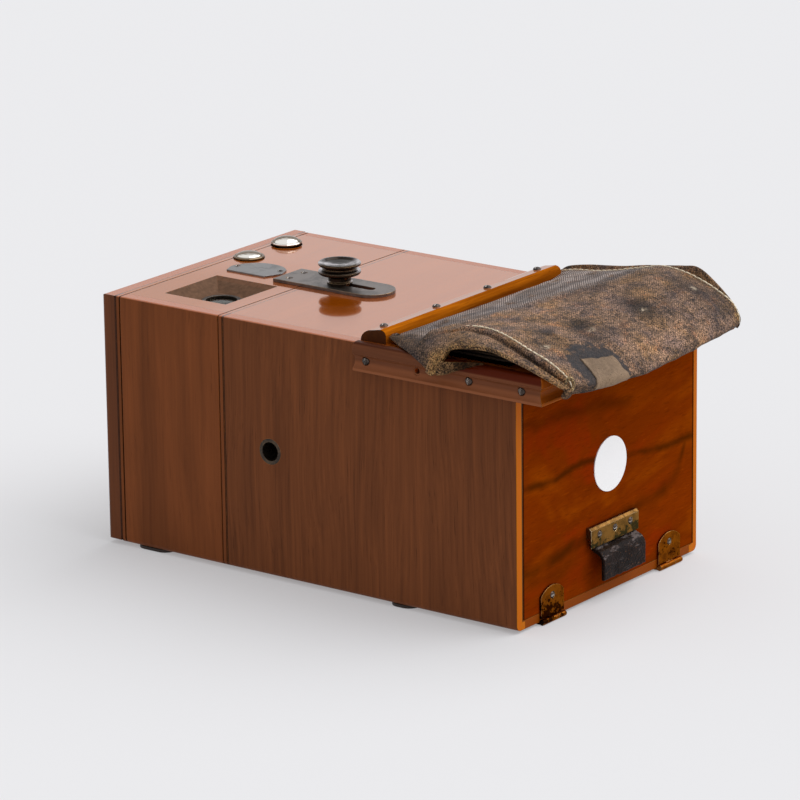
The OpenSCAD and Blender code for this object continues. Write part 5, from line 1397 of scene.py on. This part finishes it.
class CAMBOX_OT_bag_patch(bpy.types.Operator):
    """Lays the blank leather patch on the bag's rear slope"""
    bl_idname = "cambox.bag_patch"
    bl_label = "Bag patch"

    def execute(self, context):
        look = context.scene.cambox_bag
        u = np.linspace(7.4, 9.6, 90)
        v = np.linspace(8.0, 12.0, 160)
        points = creased_cover(u, v, look.slack, lift=0.5)
        s, t = np.meshgrid(np.linspace(0, 1, 30), np.linspace(0, 1, 30), indexing="ij")
        corners = np.array(PATCH_CORNERS)
        middle = (corners[0] * ((1 - s) * (1 - t))[..., None] + corners[1] * ((1 - s) * t)[..., None]
                  + corners[2] * (s * t)[..., None] + corners[3] * (s * (1 - t))[..., None])
        worn = np.array([[noise.noise(Vector((a * 5, b * 5, 1.0))) for b in t[0]] for a in s[:, 0]])
        middle[..., 0] += 0.05 * worn * (np.abs(t - 0.5) * 2) ** 4
        middle[..., 1] += 0.12 * worn * (np.abs(s - 0.5) * 2) ** 4
        column = (middle[..., 0] - u[0]) / (u[1] - u[0])
        row = (middle[..., 1] - v[0]) / (v[1] - v[0])
        c0, r0 = column.astype(int), row.astype(int)
        fc, fr = (column - c0)[..., None], (row - r0)[..., None]
        grid = ((1 - fr) * ((1 - fc) * points[r0, c0] + fc * points[r0, c0 + 1])
                + fr * ((1 - fc) * points[r0 + 1, c0] + fc * points[r0 + 1, c0 + 1]))
        leather = plain_leather("patch_leather", (0.250, 0.168, 0.106), (0.175, 0.116, 0.073),
                                (0.26, 0.20, 0.12), pits=0.0, fibres=0.0, rough=0.6, bump=0.15,
                                specular=0.15, edge=(0.06, 0.045, 0.035), grain=0.18)
        patch = grid_of(grid[:, ::-1], "bag_patch", leather)
        thicken(patch, 0.6)
        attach(patch, "rear_section")
        return {"FINISHED"}


class CAMBOX_OT_tab(bpy.types.Operator):
    """Makes the leather pull under its brass plate"""
    bl_idname = "cambox.tab"
    bl_label = "Leather pull"

    def execute(self, context):
        look = context.scene.cambox_tab
        low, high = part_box("leather_tab")
        x0, x1 = low.x / MM, high.x / MM
        y0 = low.y / MM
        bottom = low.z / MM
        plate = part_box("tab_plate")[0].z / MM
        path = [(y0 + 0.95, plate + 4.0), (y0 + 0.95, plate - 0.6), (y0 + 2.4, plate - 2.0),
                (y0 + 4.6, plate - 2.9), (y0 + 6.1, plate - 4.6), (y0 + 6.9, plate - 7.0),
                (y0 + 7.0, plate - 10.5), (y0 + 6.8, bottom + 0.2)]
        line = smooth_line(path, np.linspace(0, len(path) - 1, 60))
        inset = 0.6
        xs = np.linspace(x0 + inset, x1 - inset, 64)
        points = np.zeros((len(line), len(xs), 3))
        for j, x in enumerate(xs):
            side = (x - (x0 + x1) / 2) / ((x1 - x0) / 2)
            for i, (y, z) in enumerate(line):
                drop = i / (len(line) - 1)
                wave = 0.5 * noise.noise(Vector((x * 0.12, z * 0.1, 2.0)))
                curl = drop * (0.7 * side * side + wave)
                worn = 0.55 * noise.noise(Vector((x * 0.35, 4.0, 1.0))) * drop ** 6
                draw = -0.4 * drop * side
                points[i, j] = (x + draw, min(y + curl, y0 + 7.1), z + worn)
        # The pull gets painted highlight streaks along its bend.
        leather = plain_leather("tab_leather", look.colour, [c * 0.35 for c in look.colour],
                                (0.150, 0.066, 0.030), pits=0.3, fibres=0.0, rough=0.40, bump=0.45,
                                specular=0.06, edge=(0.060, 0.032, 0.022), grain=0.2, cracks=0.35,
                                highlight_streaks=0.48)
        tab = grid_of(points[:, ::-1], "door_pull", leather)
        thicken(tab, look.thickness / MM, 0.0)
        soften = tab.modifiers.new("edges", "BEVEL")
        soften.width = 0.0004
        soften.segments = 2
        soften.limit_method = "ANGLE"
        bpy.ops.object.modifier_apply(modifier=soften.name)
        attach(tab, "rear_door")
        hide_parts("leather_tab")
        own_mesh(tab)
        return {"FINISHED"}


class CAMBOX_PT_panel(bpy.types.Panel):
    """Lists the camera's pieces"""
    bl_label = "Box camera"
    bl_idname = "CAMBOX_PT_panel"
    bl_space_type = "VIEW_3D"
    bl_region_type = "UI"
    bl_category = "Box camera"

    def draw(self, context):
        for group in (context.scene.cambox_studio, context.scene.cambox_wood,
                      context.scene.cambox_bag, context.scene.cambox_tab):
            box = self.layout.box()
            for name in group.bl_rna.properties.keys():
                if name not in ("rna_type", "name"):
                    box.prop(group, name)
        for operator in OPERATORS:
            self.layout.operator(operator.bl_idname)


OPERATORS = (CAMBOX_OT_stage, CAMBOX_OT_woods, CAMBOX_OT_metals, CAMBOX_OT_glass, CAMBOX_OT_bag_cover,
             CAMBOX_OT_bag_inside, CAMBOX_OT_bag_seams, CAMBOX_OT_bag_patch, CAMBOX_OT_tab)
GROUPS = (("cambox_studio", StudioLook), ("cambox_wood", WoodLook), ("cambox_bag", BagLook),
          ("cambox_tab", TabLook))


def register():
    """Registers the settings, operators and panel."""
    for name, group in GROUPS:
        bpy.utils.register_class(group)
        setattr(bpy.types.Scene, name, PointerProperty(type=group))
    for operator in OPERATORS:
        bpy.utils.register_class(operator)
    bpy.utils.register_class(CAMBOX_PT_panel)


def unregister():
    """Takes them out again."""
    bpy.utils.unregister_class(CAMBOX_PT_panel)
    for operator in reversed(OPERATORS):
        bpy.utils.unregister_class(operator)
    for name, group in reversed(GROUPS):
        delattr(bpy.types.Scene, name)
        bpy.utils.unregister_class(group)


def main():
    """Makes the whole scene."""
    register()
    make_grain_group()
    make_edge_group()
    make_patina_group()
    make_leather_group()
    bpy.ops.cambox.stage()
    bpy.ops.cambox.woods()
    bpy.ops.cambox.metals()
    bpy.ops.cambox.glass()
    bpy.ops.cambox.bag_cover()
    bpy.ops.cambox.bag_inside()
    bpy.ops.cambox.bag_seams()
    bpy.ops.cambox.bag_patch()
    bpy.ops.cambox.tab()


if __name__ == "__main__":
    main()
